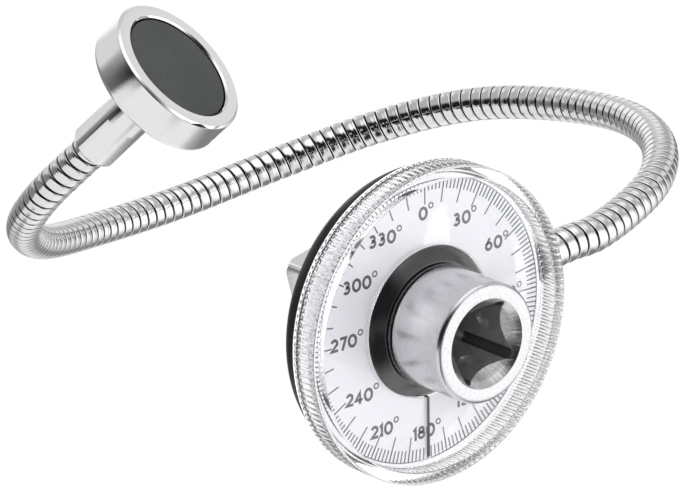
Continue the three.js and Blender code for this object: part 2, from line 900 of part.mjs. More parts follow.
const headGroup = new THREE.Group();
headGroup.add(
  mesh("magnet_ferrule", magnetFerrule(), chrome),
  mesh("magnet_cup", magnetCup(), chrome),
  mesh("magnet_disc", magnetDisc(), ferrite),
  mesh("head_screw", headScrew(), springSteel),
);
const headLine = new THREE.Vector3(...headAxis).normalize();
const headReach = cupDepth + seatGap + ferruleLength - armHoleDepth + armEndGap;
headGroup.position.copy(armLine.getPoint(1)).addScaledVector(headLine, headReach);
headGroup.quaternion.setFromUnitVectors(new THREE.Vector3(0, 0, 1), headLine);

gauge.add(spindleGroup, housingGroup, coverGroup, armGroup, headGroup);

export default gauge;
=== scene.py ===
from functools import partial
from math import acos, atan2, cos, degrees, hypot, pi, radians, sin, sqrt, tan, tau

import bmesh
import bpy
import numpy as np
from mathutils import Matrix, Vector


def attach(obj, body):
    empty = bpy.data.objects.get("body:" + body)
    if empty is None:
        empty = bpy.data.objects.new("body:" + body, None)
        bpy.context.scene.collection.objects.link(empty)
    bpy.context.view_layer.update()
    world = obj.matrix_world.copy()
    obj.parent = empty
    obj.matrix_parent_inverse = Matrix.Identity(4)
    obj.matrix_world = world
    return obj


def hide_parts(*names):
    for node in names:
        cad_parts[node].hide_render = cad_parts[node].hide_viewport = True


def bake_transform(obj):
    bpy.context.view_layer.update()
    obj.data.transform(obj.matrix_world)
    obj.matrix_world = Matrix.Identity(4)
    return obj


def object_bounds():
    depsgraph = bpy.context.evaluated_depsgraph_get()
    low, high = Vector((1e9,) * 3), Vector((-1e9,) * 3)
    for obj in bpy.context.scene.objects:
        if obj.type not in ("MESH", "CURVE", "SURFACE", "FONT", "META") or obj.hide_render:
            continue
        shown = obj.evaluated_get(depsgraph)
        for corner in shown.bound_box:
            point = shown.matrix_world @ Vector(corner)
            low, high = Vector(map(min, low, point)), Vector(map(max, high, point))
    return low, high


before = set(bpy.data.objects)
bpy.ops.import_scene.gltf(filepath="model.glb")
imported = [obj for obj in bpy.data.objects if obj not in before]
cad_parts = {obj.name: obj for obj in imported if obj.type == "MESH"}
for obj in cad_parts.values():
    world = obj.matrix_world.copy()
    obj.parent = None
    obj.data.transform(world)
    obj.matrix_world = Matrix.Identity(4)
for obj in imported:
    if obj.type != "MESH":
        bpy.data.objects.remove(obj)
cadBox = [list(corner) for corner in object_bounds()]
scene = bpy.context.scene
mm = 0.001
fullTurn = tau

# camera
camera = {
    "place": (-431.331, 408.424, 642.288),
    "right": (0.74315, -0.20279, 0.63765),
    "down": (-0.44279, -0.86351, 0.24143),
    "forward": (0.50166, -0.46177, -0.73151),
    "lens": 220.41,
    "sensor": 36,
}
cameraData = bpy.data.cameras.new("photoCamera")
cameraData.lens = camera["lens"]
cameraData.sensor_width = camera["sensor"]
cameraData.clip_start = 0.05
cameraData.clip_end = 20
cameraObject = bpy.data.objects.new("photoCamera", cameraData)
scene.collection.objects.link(cameraObject)
turn = Matrix((camera["right"], [-v for v in camera["down"]], [-v for v in camera["forward"]])).transposed()
cameraObject.matrix_world = Matrix.Translation(Vector(camera["place"]) * mm) @ turn.to_4x4()
scene.camera = cameraObject
print("camera placed")


# node trees
def treeOf(values):
    # a socket knows the tree that it is in
    return next(value.id_data for value in values if isinstance(value, bpy.types.NodeSocket))


def fill(inputs, values):
    # each input gets a plain value, or a link where the value is a socket
    for key, value in values.items():
        if isinstance(value, bpy.types.NodeSocket):
            value.id_data.links.new(value, inputs[key])
        else:
            inputs[key].default_value = value


def addNode(tree, kind, inputs=None, **settings):
    made = tree.nodes.new(kind)
    for key, value in settings.items():
        setattr(made, key, value)
    fill(made.inputs, inputs or {})
    return made


def nodeOut(tree, kind, inputs=None, **settings):
    return addNode(tree, kind, inputs, **settings).outputs[0]


def calc(operation, *values):
    return nodeOut(treeOf(values), "ShaderNodeMath", dict(enumerate(values)), operation=operation)


plus, minus, times, over = [partial(calc, sign) for sign in ("ADD", "SUBTRACT", "MULTIPLY", "DIVIDE")]


def vectorCalc(operation, a, b=None):
    inputs = {0: a} if b is None else {0: a, "Scale" if operation == "SCALE" else 1: b}
    outputs = addNode(a.id_data, "ShaderNodeVectorMath", inputs, operation=operation).outputs
    return outputs["Value" if operation in ("DOT_PRODUCT", "LENGTH") else "Vector"]


def toVector(**parts):
    return nodeOut(treeOf(parts.values()), "ShaderNodeCombineXYZ", parts)


def ramp(value, start, end, low=0.0, high=1.0, **settings):
    inputs = {"Value": value, "From Min": start, "From Max": end, "To Min": low, "To Max": high}
    return nodeOut(value.id_data, "ShaderNodeMapRange", inputs, **settings)


def between(mask, low, high):
    return ramp(mask, 0.0, 1.0, low, high)


def mix(share, a, b):
    return nodeOut(share.id_data, "ShaderNodeMix", {"Factor": share, "A": a, "B": b})


def tint(share, *pair):
    # mixes two colours, each given as a socket or as red, green and blue
    inputs = {6 + i: c if isinstance(c, bpy.types.NodeSocket) else (*c, 1) for i, c in enumerate(pair)}
    return addNode(share.id_data, "ShaderNodeMix", {"Factor": share, **inputs}, data_type="RGBA").outputs[2]


def noise(place, scale, detail):
    return nodeOut(place.id_data, "ShaderNodeTexNoise", {"Vector": place, "Scale": scale, "Detail": detail})


socketKinds = {float: "Float", int: "Int", tuple: "Vector"}


def newTree(name, kind, inputs, outputs):
    # each socket is given by its first value, or by its kind where it has none
    tree = bpy.data.node_groups.new(name, kind)
    for way, sockets in (("INPUT", inputs), ("OUTPUT", outputs)):
        for label, value in sockets.items():
            socketKind = socketKinds.get(type(value), value)
            socket = tree.interface.new_socket(name=label, in_out=way, socket_type="NodeSocket" + socketKind)
            if socketKind != value:
                socket.default_value = value
    return tree, tree.nodes.new("NodeGroupInput").outputs, tree.nodes.new("NodeGroupOutput").inputs


def newShapeTree(name, inputs):
    inputs = {"Geometry": "Geometry", **inputs, "Material": "Material"}
    return newTree(name, "GeometryNodeTree", inputs, {"Geometry": "Geometry"})


def finishShape(made, given, result):
    tree = made.id_data
    real = nodeOut(tree, "GeometryNodeRealizeInstances", {"Geometry": made})
    done = nodeOut(tree, "GeometryNodeSetMaterial", {"Geometry": real, "Material": given["Material"]})
    fill(result, {"Geometry": done})
    return tree


# shader groups
def makeGrainGroup():
    # fine noise that tints, changes the gloss and roughens the surface
    outputs = {"Mask": "Float", "Normal": "Vector"}
    tree, given, result = newTree("fineGrain", "ShaderNodeTree", {"Scale": 400.0, "Height": 0.1}, outputs)
    place = addNode(tree, "ShaderNodeTexCoord").outputs["Object"]
    mask = noise(place, given["Scale"], 4.0)
    inputs = {"Strength": given["Height"], "Distance": 0.0002, "Height": mask}
    fill(result, {"Mask": mask, "Normal": nodeOut(tree, "ShaderNodeBump", inputs)})
    return tree


def makeHandlingGroup():
    # broad smudges with a few fine scratches, as a mask from 0 to 1
    inputs = {"Smudge Scale": 60.0, "Scratch Scale": 160.0}
    tree, given, result = newTree("handlingMarks", "ShaderNodeTree", inputs, {"Mask": "Float"})
    place = addNode(tree, "ShaderNodeTexCoord").outputs["Object"]
    inputs = {"Vector": place, "Rotation": (0.4, 0.3, 0.8), "Scale": (1.0, 12.0, 1.0)}
    long = nodeOut(tree, "ShaderNodeMapping", inputs)
    broad = ramp(noise(place, given["Smudge Scale"], 3.0), 0.35, 0.75)
    lines = ramp(noise(long, given["Scratch Scale"], 2.0), 0.62, 0.7)
    fill(result, {"Mask": calc("MAXIMUM", broad, times(lines, 0.8))})
    return tree


fineGrain = makeGrainGroup()
handlingMarks = makeHandlingGroup()


# materials
def newMaterial(name):
    material = bpy.data.materials.new(name)
    material.use_nodes = True
    tree = material.node_tree
    return material, tree, tree.nodes["Principled BSDF"], tree.nodes["Material Output"]


def newSurface(name, scale, height, smudge=60.0):
    # a material with the fine grain on its surface, and the masks of the grain and the marks
    material, tree, shader, _ = newMaterial(name)
    inputs = {"Scale": scale, "Height": height}
    grain = addNode(tree, "ShaderNodeGroup", inputs, node_tree=fineGrain).outputs
    marks = nodeOut(tree, "ShaderNodeGroup", {"Smudge Scale": smudge}, node_tree=handlingMarks)
    fill(shader.inputs, {"Normal": grain["Normal"]})
    return material, tree, shader.inputs, grain["Mask"], marks


def mixShader(share, a, b):
    return addNode(share.id_data, "ShaderNodeMixShader", {"Fac": share, 1: a.outputs[0], 2: b.outputs[0]})


def makeMetal(name, low, high, smooth, rough, scale, height, metallic=1.0, smudge=60.0):
    material, _, inputs, grain, marks = newSurface(name, scale, height, smudge)
    looks = {"Base Color": tint(grain, low, high), "Roughness": between(marks, smooth, rough)}
    fill(inputs, {**looks, "Metallic": metallic})
    return material


def makePlastic(*looks, ior=None):
    material = makeMetal(*looks, metallic=0.0, smudge=90.0)
    if ior:
        material.node_tree.nodes["Principled BSDF"].inputs["IOR"].default_value = ior
    return material


nearBlack = (0.006, 0.006, 0.007)
polishedChrome = makeMetal("polishedChrome", (0.84, 0.84, 0.85), (0.9, 0.9, 0.91), 0.05, 0.1, 900, 0.03)
satinSteel = makeMetal("satinSteel", (0.66, 0.66, 0.67), (0.74, 0.74, 0.75), 0.24, 0.34, 1500, 0.1)
springSteel = makeMetal("springSteel", (0.34, 0.345, 0.36), (0.45, 0.45, 0.46), 0.28, 0.4, 1200, 0.1)
bronze = makeMetal("bronze", (0.52, 0.36, 0.17), (0.66, 0.48, 0.25), 0.25, 0.4, 1300, 0.12)
housingBlack = makePlastic("housingBlack", nearBlack, (0.016, 0.016, 0.018), 0.24, 0.34, 1400, 0.12, ior=1.3)
hubBlack = makePlastic("hubBlack", nearBlack, (0.014, 0.014, 0.016), 0.12, 0.2, 1100, 0.05, ior=2.1)
blackRubber = makePlastic("blackRubber", (0.006, 0.006, 0.006), (0.015, 0.015, 0.015), 0.6, 0.8, 900, 0.3)
dialInk = makePlastic("dialInk", (0.06, 0.06, 0.065), (0.1, 0.1, 0.11), 0.4, 0.55, 2500, 0.05)
pointerInk = makePlastic("pointerInk", (0.004, 0.004, 0.005), (0.012, 0.012, 0.014), 0.3, 0.45, 2500, 0.05)
dialWhite = makePlastic("dialWhite", (0.87, 0.875, 0.915), (0.9, 0.903, 0.94), 0.35, 0.5, 1800, 0.03)
ferrite = makePlastic("ferrite", (0.045, 0.05, 0.048), (0.085, 0.092, 0.088), 0.6, 0.85, 2600, 0.3)


# where the spindle's looks blend, in metres along its axis or away from it
chromeZones = {
    "satin": (0.036, 0.038), "bore": (0.0093, 0.009), "front": (0.0535, 0.053), "floor": (0.0385, 0.039),
    "corners": (0.0079, 0.0083),
}


def makeSpindleChrome():
    # polished on the male square, satin on the sleeve in front, and inside the socket a dark colour that is
    # painted shade of the recess
    zones = chromeZones
    material, tree, inputs, grain, marks = newSurface("spindleChrome", 1900, 0.055)
    place = addNode(tree, "ShaderNodeTexCoord").outputs["Object"]
    parts = addNode(tree, "ShaderNodeSeparateXYZ", {0: place}).outputs
    apart = vectorCalc("LENGTH", toVector(X=parts["X"], Y=parts["Y"]))
    satin = ramp(parts["Z"], *zones["satin"])
    # the inside of the socket, where the colour is painted shade
    insideSocket = ramp(apart, *zones["bore"])
    for side in ("front", "floor"):
        insideSocket = times(insideSocket, ramp(parts["Z"], *zones[side]))
    rough = mix(satin, between(marks, 0.06, 0.12), between(marks, 0.22, 0.25))
    rough = mix(insideSocket, rough, between(marks, 0.15, 0.2))
    speckle = ramp(grain, 0.35, 0.65)
    bright = tint(grain, (0.82, 0.82, 0.83), (0.88, 0.88, 0.89))
    bright = tint(satin, bright, tint(speckle, (0.69, 0.69, 0.71), (0.77, 0.77, 0.79)))
    # painted shade inside the socket, darkest in the corners of the square
    socketShade = tint(speckle, (0.34, 0.34, 0.345), (0.46, 0.46, 0.465))
    socketShade = tint(ramp(apart, *zones["corners"]), socketShade, (0.11, 0.11, 0.112))
    metal = between(insideSocket, 1.0, 0.75)
    fill(inputs, {"Base Color": tint(insideSocket, bright, socketShade), "Roughness": rough, "Metallic": metal})
    return material


def makeArmSteel():
    # bright steel turns, near black in the groove between two turns as painted shade with some dirt
    material, tree, inputs, grain, marks = newSurface("armSteel", 1500, 0.06, 120.0)
    groove = addNode(tree, "ShaderNodeAttribute", attribute_name="groove").outputs["Fac"]
    bright = tint(grain, (0.8, 0.8, 0.81), (0.87, 0.87, 0.88))
    # painted shade with some dirt: near black where the groove is
    colour = tint(ramp(groove, 0.12, 0.55), bright, (0.015, 0.015, 0.016))
    rough = plus(between(marks, 0.07, 0.13), times(groove, 0.4))
    fill(inputs, {"Base Color": colour, "Roughness": rough, "Metallic": 1.0})
    return material


def makeClearPlastic():
    # light passes through it for shadows, so that the dial behind it is lit
    material, tree, inputs, _, marks = newSurface("clearPlastic", 500, 0.01, 70.0)
    teeth = addNode(tree, "ShaderNodeAttribute", attribute_name="knurl").outputs["Fac"]
    rough = plus(between(marks, 0.0, 0.03), times(teeth, 0.22))
    looks = {"Base Color": (0.985, 0.985, 0.99, 1), "Roughness": rough, "IOR": 1.49}
    fill(inputs, {**looks, "Transmission Weight": between(teeth, 1.0, 0.84)})
    path = addNode(tree, "ShaderNodeLightPath").outputs
    through = addNode(tree, "ShaderNodeBsdfTransparent", {"Color": (0.96, 0.96, 0.965, 1)})
    blocked = calc("MAXIMUM", path["Is Shadow Ray"], path["Is Diffuse Ray"])
    mixed = mixShader(blocked, tree.nodes["Principled BSDF"], through)
    fill(tree.nodes["Material Output"].inputs, {"Surface": mixed.outputs[0]})
    return material


spindleChrome = makeSpindleChrome()
armSteel = makeArmSteel()
clearPlastic = makeClearPlastic()
print("materials made")


# mesh helpers, all sizes in millimetres
def addPiece(name, data):
    piece = bpy.data.objects.new(name, data)
    scene.collection.objects.link(piece)
    return piece


def cleanMesh(mesh, merge):
    shape = bmesh.new()
    shape.from_mesh(mesh)
    if merge:
        bmesh.ops.remove_doubles(shape, verts=shape.verts, dist=1e-7)
    bmesh.ops.dissolve_degenerate(shape, edges=shape.edges, dist=1e-8)
    bmesh.ops.recalc_face_normals(shape, faces=shape.faces)
    shape.to_mesh(mesh)
    shape.free()
    return mesh


def newPiece(name, points, faces):
    mesh = bpy.data.meshes.new(name)
    mesh.from_pydata([tuple(float(v) * mm for v in p) for p in points], [], faces)
    return addPiece(name, cleanMesh(mesh, True))


def settle(piece):
    # turns what the modifiers make into a plain mesh
    evaluated = piece.evaluated_get(bpy.context.evaluated_depsgraph_get())
    mesh = bpy.data.meshes.new_from_object(evaluated)
    piece.modifiers.clear()
    piece.data = mesh
    return piece


def combine(piece, tool, operation="DIFFERENCE"):
    change = piece.modifiers.new("combine", "BOOLEAN")
    change.operation = operation
    change.object = tool
    change.solver = "EXACT"
    settle(piece)
    bpy.data.objects.remove(tool)
    return piece


def soften(piece, width, segments=3, angle=35):
    edge = piece.modifiers.new("softEdges", "BEVEL")
    edge.width = width * mm
    edge.segments = segments
    edge.limit_method = "ANGLE"
    edge.angle_limit = radians(angle)
    edge.harden_normals = False
    edge.use_clamp_overlap = True
    return settle(piece)


def setInputs(piece, tree, values):
    change = piece.modifiers.new(tree.name, "NODES")
    change.node_group = tree
    for item in tree.interface.items_tree:
        if item.item_type == "SOCKET" and item.in_out == "INPUT" and item.name in values:
            change[item.identifier] = values[item.name]


def runTree(piece, tree, values):
    setInputs(piece, tree, values)
    return settle(piece)


def dress(piece, material, body, nodes=(), sharp=30):
    if material is not None:
        piece.data.materials.clear()
        piece.data.materials.append(material)
    piece.data.shade_smooth()
    piece.data.set_sharp_from_angle(angle=radians(sharp))
    if body:
        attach(piece, body)
    if nodes:
        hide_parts(*nodes)
    return piece


def roundCorners(corners, steps=6):
    # a closed outline of (radius, height, rounding) corners as plain points
    points = []
    count = len(corners)
    for i, (radius, height, rounding) in enumerate(corners):
        here = Vector((radius, height))
        before = Vector(corners[i - 1][:2]) - here
        after = Vector(corners[(i + 1) % count][:2]) - here
        if rounding <= 0:
            points.append((radius, height))
            continue
        before.normalize()
        after.normalize()
        half = acos(max(-1, min(1, before.dot(after)))) / 2
        reach = rounding / tan(half)
        centre = here + (before + after).normalized() * (rounding / sin(half))
        first = here + before * reach - centre
        sweep = pi - 2 * half
        side = 1 if first.x * (here - centre).y - first.y * (here - centre).x > 0 else -1
        for k in range(steps + 1):
            angle = side * sweep * k / steps
            cosine, sine = cos(angle), sin(angle)
            x = centre.x + first.x * cosine - first.y * sine
            points.append((x, centre.y + first.x * sine + first.y * cosine))
    return points


def lathe(name, outline, sides=192):
    # turns a closed outline of (radius, height) round Z
    angles = [fullTurn * i / sides for i in range(sides)]
    points = [(r * cos(a), r * sin(a), z) for a in angles for r, z in outline]
    count = len(outline)
    faces = []
    for i in range(sides):
        for j in range(count):
            k = (j + 1) % count
            if outline[j][0] < 1e-6 and outline[k][0] < 1e-6:
                continue
            a, b = i * count, ((i + 1) % sides) * count
            faces.append((a + j, b + j, b + k, a + k))
    return newPiece(name, points, faces)


def prism(name, outline, low, high):
    # an outline of (x, y) points pushed up Z
    count = len(outline)
    points = [(x, y, low) for x, y in outline] + [(x, y, high) for x, y in outline]
    sides = [(j, (j + 1) % count, (j + 1) % count + count, j + count) for j in range(count)]
    return newPiece(name, points, [tuple(range(count))[::-1], tuple(range(count, 2 * count)), *sides])


def rectangle(left, right, low, high):
    return [(left, low), (right, low), (right, high), (left, high)]


def circlePoints(radius, count):
    return [(radius * cos(fullTurn * i / count), radius * sin(fullTurn * i / count)) for i in range(count)]


def arc(x, y, across, up, start, end, steps=18):
    angles = [radians(start + (end - start) * k / steps) for k in range(steps + 1)]
    return [(x + across * cos(a), y + up * sin(a)) for a in angles]


def ballOutline(radius, step):
    angles = [radians(a) for a in range(0, 181, step)]
    return [(radius * sin(a), -radius * cos(a)) for a in angles]


def cylinder(name, radius, low, high, sides=64):
    return prism(name, circlePoints(radius, sides), low, high)


def place(piece, matrix):
    piece.data.transform(matrix)
    return piece


def moved(x, y, z):
    return Matrix.Translation(Vector((x, y, z)) * mm)


def turned(angle, axis="Z"):
    return Matrix.Rotation(radians(angle), 4, axis)


# drive spindle
spindle = {
    "square": 12.7, "corner": 1.1, "tip": 7.7, "taper": 1.9, "journal": 9.2, "sleeve": 12.6, "face": 54.6,
    "socket": 12.9, "lobe": 1.1, "reach": 9.0, "floor": 39.3, "sink": 9.4, "dimple": 2.8,
    "dimpleHeight": 46.4, "ballHeight": 7.6, "ball": 2.4, "ballPlace": -4.85, "ballBore": 2.6,
    "ballMouth": 2.25,
    # radius, start and end
    "ringGroove": (8.3, 23.4, 25.0), "hubSeat": (10.4, 35.0, 39.95), "seatGroove": (9.1, 36.28, 38.08),
}


def socketOutline():
    s = spindle
    reach = s["reach"] - s["lobe"]
    opening = degrees(acos((s["socket"] / 2 - reach / sqrt(2)) / s["lobe"]))
    points = []
    for start in (0, 90, 180, 270):
        middle = radians(start + 45)
        x, y = reach * cos(middle), reach * sin(middle)
        points += arc(x, y, s["lobe"], s["lobe"], start - opening, start + 90 + opening, 16)
    return points


def makeSpindle():
    s = spindle
    shaft, sleeve, face = s["journal"], s["sleeve"], s["face"]
    ring, ringLow, ringHigh = s["ringGroove"]
    seat, seatLow, seatHigh = s["hubSeat"]
    groove, grooveLow, grooveHigh = s["seatGroove"]
    # up from the male square: collar, ring groove, journal, hub seat with its groove, sleeve
    corners = [(0, 14.0, 0), (5.6, 14.0, 0), (6.35, 14.6, 0), (shaft, 15.6, 0.15), (shaft, ringLow, 0.1)]
    corners += [(ring, ringLow, 0.1), (ring, ringHigh, 0.1), (shaft, ringHigh, 0.1), (shaft, seatLow, 0)]
    corners += [(seat, seatLow, 0.15), (seat, grooveLow, 0.1), (groove, grooveLow, 0.1)]
    corners += [(groove, grooveHigh, 0.1), (seat, grooveHigh, 0.1), (seat, seatHigh, 0)]
    corners += [(12.25, seatHigh, 0.05), (sleeve, 40.3, 0.12), (sleeve, face, 1.1), (0, face, 0)]
    body = lathe("driveSpindle", roundCorners(corners, 8))
    half, corner = s["square"] / 2, s["corner"]
    corners = [(half, -half, corner), (half, half, corner), (-half, half, corner), (-half, -half, corner)]
    square = prism("squareBar", roundCorners(corners, 8), 0, 16)
    corners = [(0, 0, 0), (s["tip"], 0, 0.5), (shaft, s["taper"], 0.6), (shaft, 17, 0), (0, 17, 0)]
    combine(square, lathe("squareTip", roundCorners(corners)), "INTERSECT")
    for name, start, end in (("ballBore", -2.1, 6.05), ("ballMouth", 0, 8.5)):
        hole = place(cylinder(name, s[name], start, end), turned(90, "X"))
        combine(square, place(hole, moved(0, 0, s["ballHeight"])))
    soften(square, 0.35)
    combine(body, prism("socketCut", socketOutline(), s["floor"], face + 3))
    combine(body, lathe("sinkCut", [(0, face - s["sink"]), (s["sink"] + 2, face + 2), (0, face + 2)]))
    for quarter in range(4):
        dimple = lathe("dimpleCut", ballOutline(s["dimple"], 5), 64)
        out = moved(s["socket"] / 2 - s["dimple"] + 1, 0, s["dimpleHeight"])
        combine(body, place(dimple, turned(90 * quarter) @ out))
    soften(body, 0.12, 2, 40)
    combine(body, square, "UNION")
    dress(body, spindleChrome, "spindle", ["drive_spindle"])


makeSpindle()


def makeBall():
    ball = lathe("detentBall", ballOutline(spindle["ball"], 4), 96)
    place(ball, moved(0, spindle["ballPlace"], spindle["ballHeight"]))
    dress(ball, polishedChrome, "detent", ["detent_ball"], 60)


makeBall()
print("spindle made")

# small rings on the spindle
rings = {
    "frictionRing": {"radius": 9.9, "height": 37.18, "wire": 0.6},
    "slipWasher": {"inner": 10.7, "outer": 12.75, "low": 39.08, "high": 39.65},
    "thrustWasher": {"inner": 9.5, "outer": 12.9, "low": 25.0, "high": 25.9},
    "retainingRing": {
        "inner": 8.6, "outer": 10.8, "thinner": 0.55, "low": 23.7, "high": 24.7, "mouth": 46, "turn": 200,
        "eye": 1.3, "eyeHole": 0.55,
    },
}


def ringOutline(inner, outer, low, high, rounding, steps):
    corners = [(inner, low, 0.1), (outer, low, rounding), (outer, high, rounding), (inner, high, 0.1)]
    return roundCorners(corners, steps)


def makeRings():
    r = rings["frictionRing"]
    circle = [(r["radius"] + x, r["height"] + y) for x, y in circlePoints(r["wire"], 20)]
    dress(lathe("frictionRing", circle, 96), blackRubber, "spindle", ["friction_ring"], 60)
    for name, node, material, slot in (
        ("slipWasher", "slip_washer", hubBlack, "black_plastic"),
        ("thrustWasher", "thrust_washer", satinSteel, "satin_steel"),
    ):
        w = rings[name]
        outline = ringOutline(w["inner"], w["outer"], w["low"], w["high"], 0.12, 4)
        dress(lathe(name, outline), material, "spindle", [node])


def makeRetainingRing():
    r = rings["retainingRing"]
    low, high, half = r["low"], r["high"], r["mouth"] / 2
    outline = []
    for x, y in arc(0, 0, 1, 1, half, 360 - half, 96):
        # thin at the back, full at the mouth
        reach = r["outer"] - r["thinner"] * (1 - x) / 2
        outline.append((reach * x, reach * y))
    outline += arc(0, 0, r["inner"], r["inner"], 360 - half, half, 96)
    ring = prism("retainingRing", outline, low, high)
    middle = (r["inner"] + r["outer"]) / 2 + 0.2
    angle = radians(half + 3)
    for side in (1, -1):
        there = moved(middle * cos(angle), side * middle * sin(angle), 0)
        combine(ring, place(cylinder("eye", r["eye"], low, high, 40), there), "UNION")
        combine(ring, place(cylinder("eyeHole", r["eyeHole"], low - 1, high + 1, 32), there))
    soften(ring, 0.1, 2)
    place(ring, turned(r["turn"]))
    dress(ring, springSteel, "spindle", ["retaining_ring"])


makeRings()
makeRetainingRing()

# detent spring: a wire wound behind the ball, with the wire's two ends capped
detentSpring = {"wire": 0.28, "radius": 1.5, "turns": 4.5, "from": 1.5, "to": -2.5, "sides": 10, "steps": 26}


def makeDetentSpring():
    d = detentSpring
    sides, height = d["sides"], spindle["ballHeight"]
    count = int(d["turns"] * d["steps"])
    line = []
    for i in range(count + 1):
        t = i / count
        angle = t * d["turns"] * fullTurn
        y = d["from"] + (d["to"] - d["from"]) * t
        line.append(Vector((d["radius"] * cos(angle), y, height + d["radius"] * sin(angle))))
    points, faces = [], []
    for i, here in enumerate(line):
        along = (line[min(i + 1, count)] - line[max(i - 1, 0)]).normalized()
        out = Vector((here.x, 0, here.z - height)).normalized()
        side = along.cross(out)
        points += [here + out * x + side * y for x, y in circlePoints(d["wire"], sides)]
    for a in range(0, count * sides, sides):
        for j in range(sides):
            k = (j + 1) % sides
            faces.append((a + j, a + k, a + k + sides, a + j + sides))
    faces += [tuple(range(sides))[::-1], tuple(range(count * sides, (count + 1) * sides))]
    spring = newPiece("detentSpring", points, faces)
    dress(spring, springSteel, None, ["detent_spring"], 50)
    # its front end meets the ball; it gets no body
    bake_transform(spring)


makeDetentSpring()
print("rings and spring made")

# dial housing
housing = {
    "back": 27.5, "rim": 33.9, "radius": 31.7, "backRadius": 27.4, "wall": 2.0, "floor": 30.1,
    "shoulder": 31.7, "boss": 15.0, "bore": 11.1, "ribs": 6, "ribThickness": 1.4, "lugWidth": 8.6,
    "lugRoot": 28.7, "lugEnd": 35.2, "lugRound": 2.6, "plugHole": 2.2, "screwHole": 1.25,
    "screwPlace": 32.6,
}
armLeaves = {"reach": 35.5, "turn": -7, "height": 31.4}
# where the arm goes from there, to the magnet
armSteps = [
    (0, 0, 0), (7.96, -0.98, 0), (15.76, -2.67, -0.4), (39.76, -5.17, -8.4), (55.26, -7.17, -22.4),
    (65.26, -10.17, -42.4), (67.26, -13.67, -67.9), (60.76, -16.67, -92.9), (46.76, -20.17, -111.4),
    (24.26, -22.67, -124.4), (-1.74, -21.17, -128.9), (-27.24, -14.17, -124.9), (-48.74, -3.17, -112.9),
    (-60.74, 10.83, -97.9), (-63.24, 24.33, -81.9), (-56.6, 35.52, -69.11), (-52.91, 39.99, -64.35),
]
exitAngle = radians(armLeaves["turn"])
armReach = armLeaves["reach"]
armStart = Vector((armReach * cos(exitAngle), armReach * sin(exitAngle), armLeaves["height"]))
armRoute = [armStart + Vector(step) for step in armSteps]
armExit = Vector(armRoute[1]) - armStart
exitTurn = degrees(atan2(armExit.y, armExit.x))


def towardsArm(piece):
    # from +X of the spindle's axis to where the arm leaves the housing
    direction = armExit.normalized()
    back = armStart - direction * armReach
    return place(piece, moved(back.x, back.y, 0) @ turned(exitTurn))


def exitBar(name, outline, sides=64):
    # a turned bar along the arm's exit, its outline given as (radius, distance from the spindle)
    return towardsArm(place(lathe(name, outline, sides), moved(0, 0, armStart.z) @ turned(90, "Y")))


def makeHousing():
    h = housing
    radius, wall, floor = h["radius"], h["wall"], h["floor"]
    boss, back, rim = h["boss"], h["back"], h["rim"]
    outside = arc(h["backRadius"], h["shoulder"], radius - h["backRadius"], h["shoulder"] - back, -90, 0, 14)
    outline = [(h["bore"], back + 0.3), (h["bore"] + 0.3, back), *outside]
    outline += [(radius, rim - 0.35), (radius - 0.1, rim - 0.1), (radius - 0.35, rim), (radius - wall, rim)]
    outline += [(r - wall, z) for r, z in outside[::-1] if z > floor]
    outline += [(h["backRadius"] - wall, floor), (boss, floor), (boss, rim), (h["bore"], rim)]
    body = lathe("backHousing", outline, 256)
    half, low, high = h["lugWidth"] / 2, (back, h["lugRound"]), (rim - 0.02, 0.4)
    section = roundCorners([(-half, *high), (-half, *low), (half, *low), (half, *high)], 8)
    turnUp = Matrix(((0, 0, 1, 0), (1, 0, 0, 0), (0, 1, 0, 0), (0, 0, 0, 1)))
    lug = place(prism("lug", section, h["lugRoot"], h["lugEnd"]), turnUp)
    combine(body, towardsArm(lug), "UNION")
    half, start = h["ribThickness"] / 2, boss - wall / 2
    for i in range(h["ribs"]):
        rib = prism("rib", rectangle(0, radius - wall / 2 - start, -half, half), floor - 0.5, rim - 1.2)
        place(rib, turned(exitTurn + 60 * (i + 0.5)) @ moved(start, 0, 0))
        combine(body, rib, "UNION")
    combine(body, exitBar("plugHole", rectangle(0, h["plugHole"], 25.6, 38)))
    screwHole = cylinder("screwHole", h["screwHole"], back - 2, armStart.z, 40)
    combine(body, towardsArm(place(screwHole, moved(h["screwPlace"], 0, 0))))
    soften(body, 0.15, 2, 50)
    dress(body, housingBlack, "dial_housing", ["back_housing"])


makeHousing()

bush = {"inner": 9.5, "outer": 10.8, "flange": 13.2, "low": 26.2, "flangeHigh": 27.2, "high": 34.5}


def makeBush():
    b = bush
    inner, outer, flange = b["inner"], b["outer"], b["flange"]
    corners = [(inner, b["low"], 0.2), (flange, b["low"], 0.2), (flange, b["flangeHigh"], 0.15)]
    corners += [(outer, b["flangeHigh"], 0.1), (outer, b["high"], 0.3), (inner, b["high"], 0.3)]
    bearing = lathe("bearingBush", roundCorners(corners, 4))
    dress(bearing, bronze, "dial_housing", ["bearing_bush"])


plug = {"start": 27.9, "radius": 1.9, "crest": 1.8, "root": 1.6, "grooves": 6, "step": 0.95, "shank": 6.8}


def makePlug():
    # grooves on the shank bite into the arm's inner coil
    start, radius, crest, root = [plug[key] for key in ("start", "radius", "crest", "root")]
    end = armReach + plug["shank"]
    outline = [(0, start), (radius - 0.3, start), (radius, start + 0.3), (radius, armReach + 0.3)]
    outline.append((radius - 0.2, armReach + 0.35))
    for k in range(plug["grooves"]):
        at = armReach + 0.9 + k * plug["step"]
        outline += [(crest, at), (crest, at + 0.55), (root, at + 0.7), (root, at + 0.85)]
    outline += [(1.5, end), (0, end)]
    dress(exitBar("armPlug", outline), satinSteel, "dial_housing", ["arm_plug"])


setScrew = {"radius": 1.1, "low": 27.8, "high": 29.35, "key": 0.62, "keyEnd": 28.7}


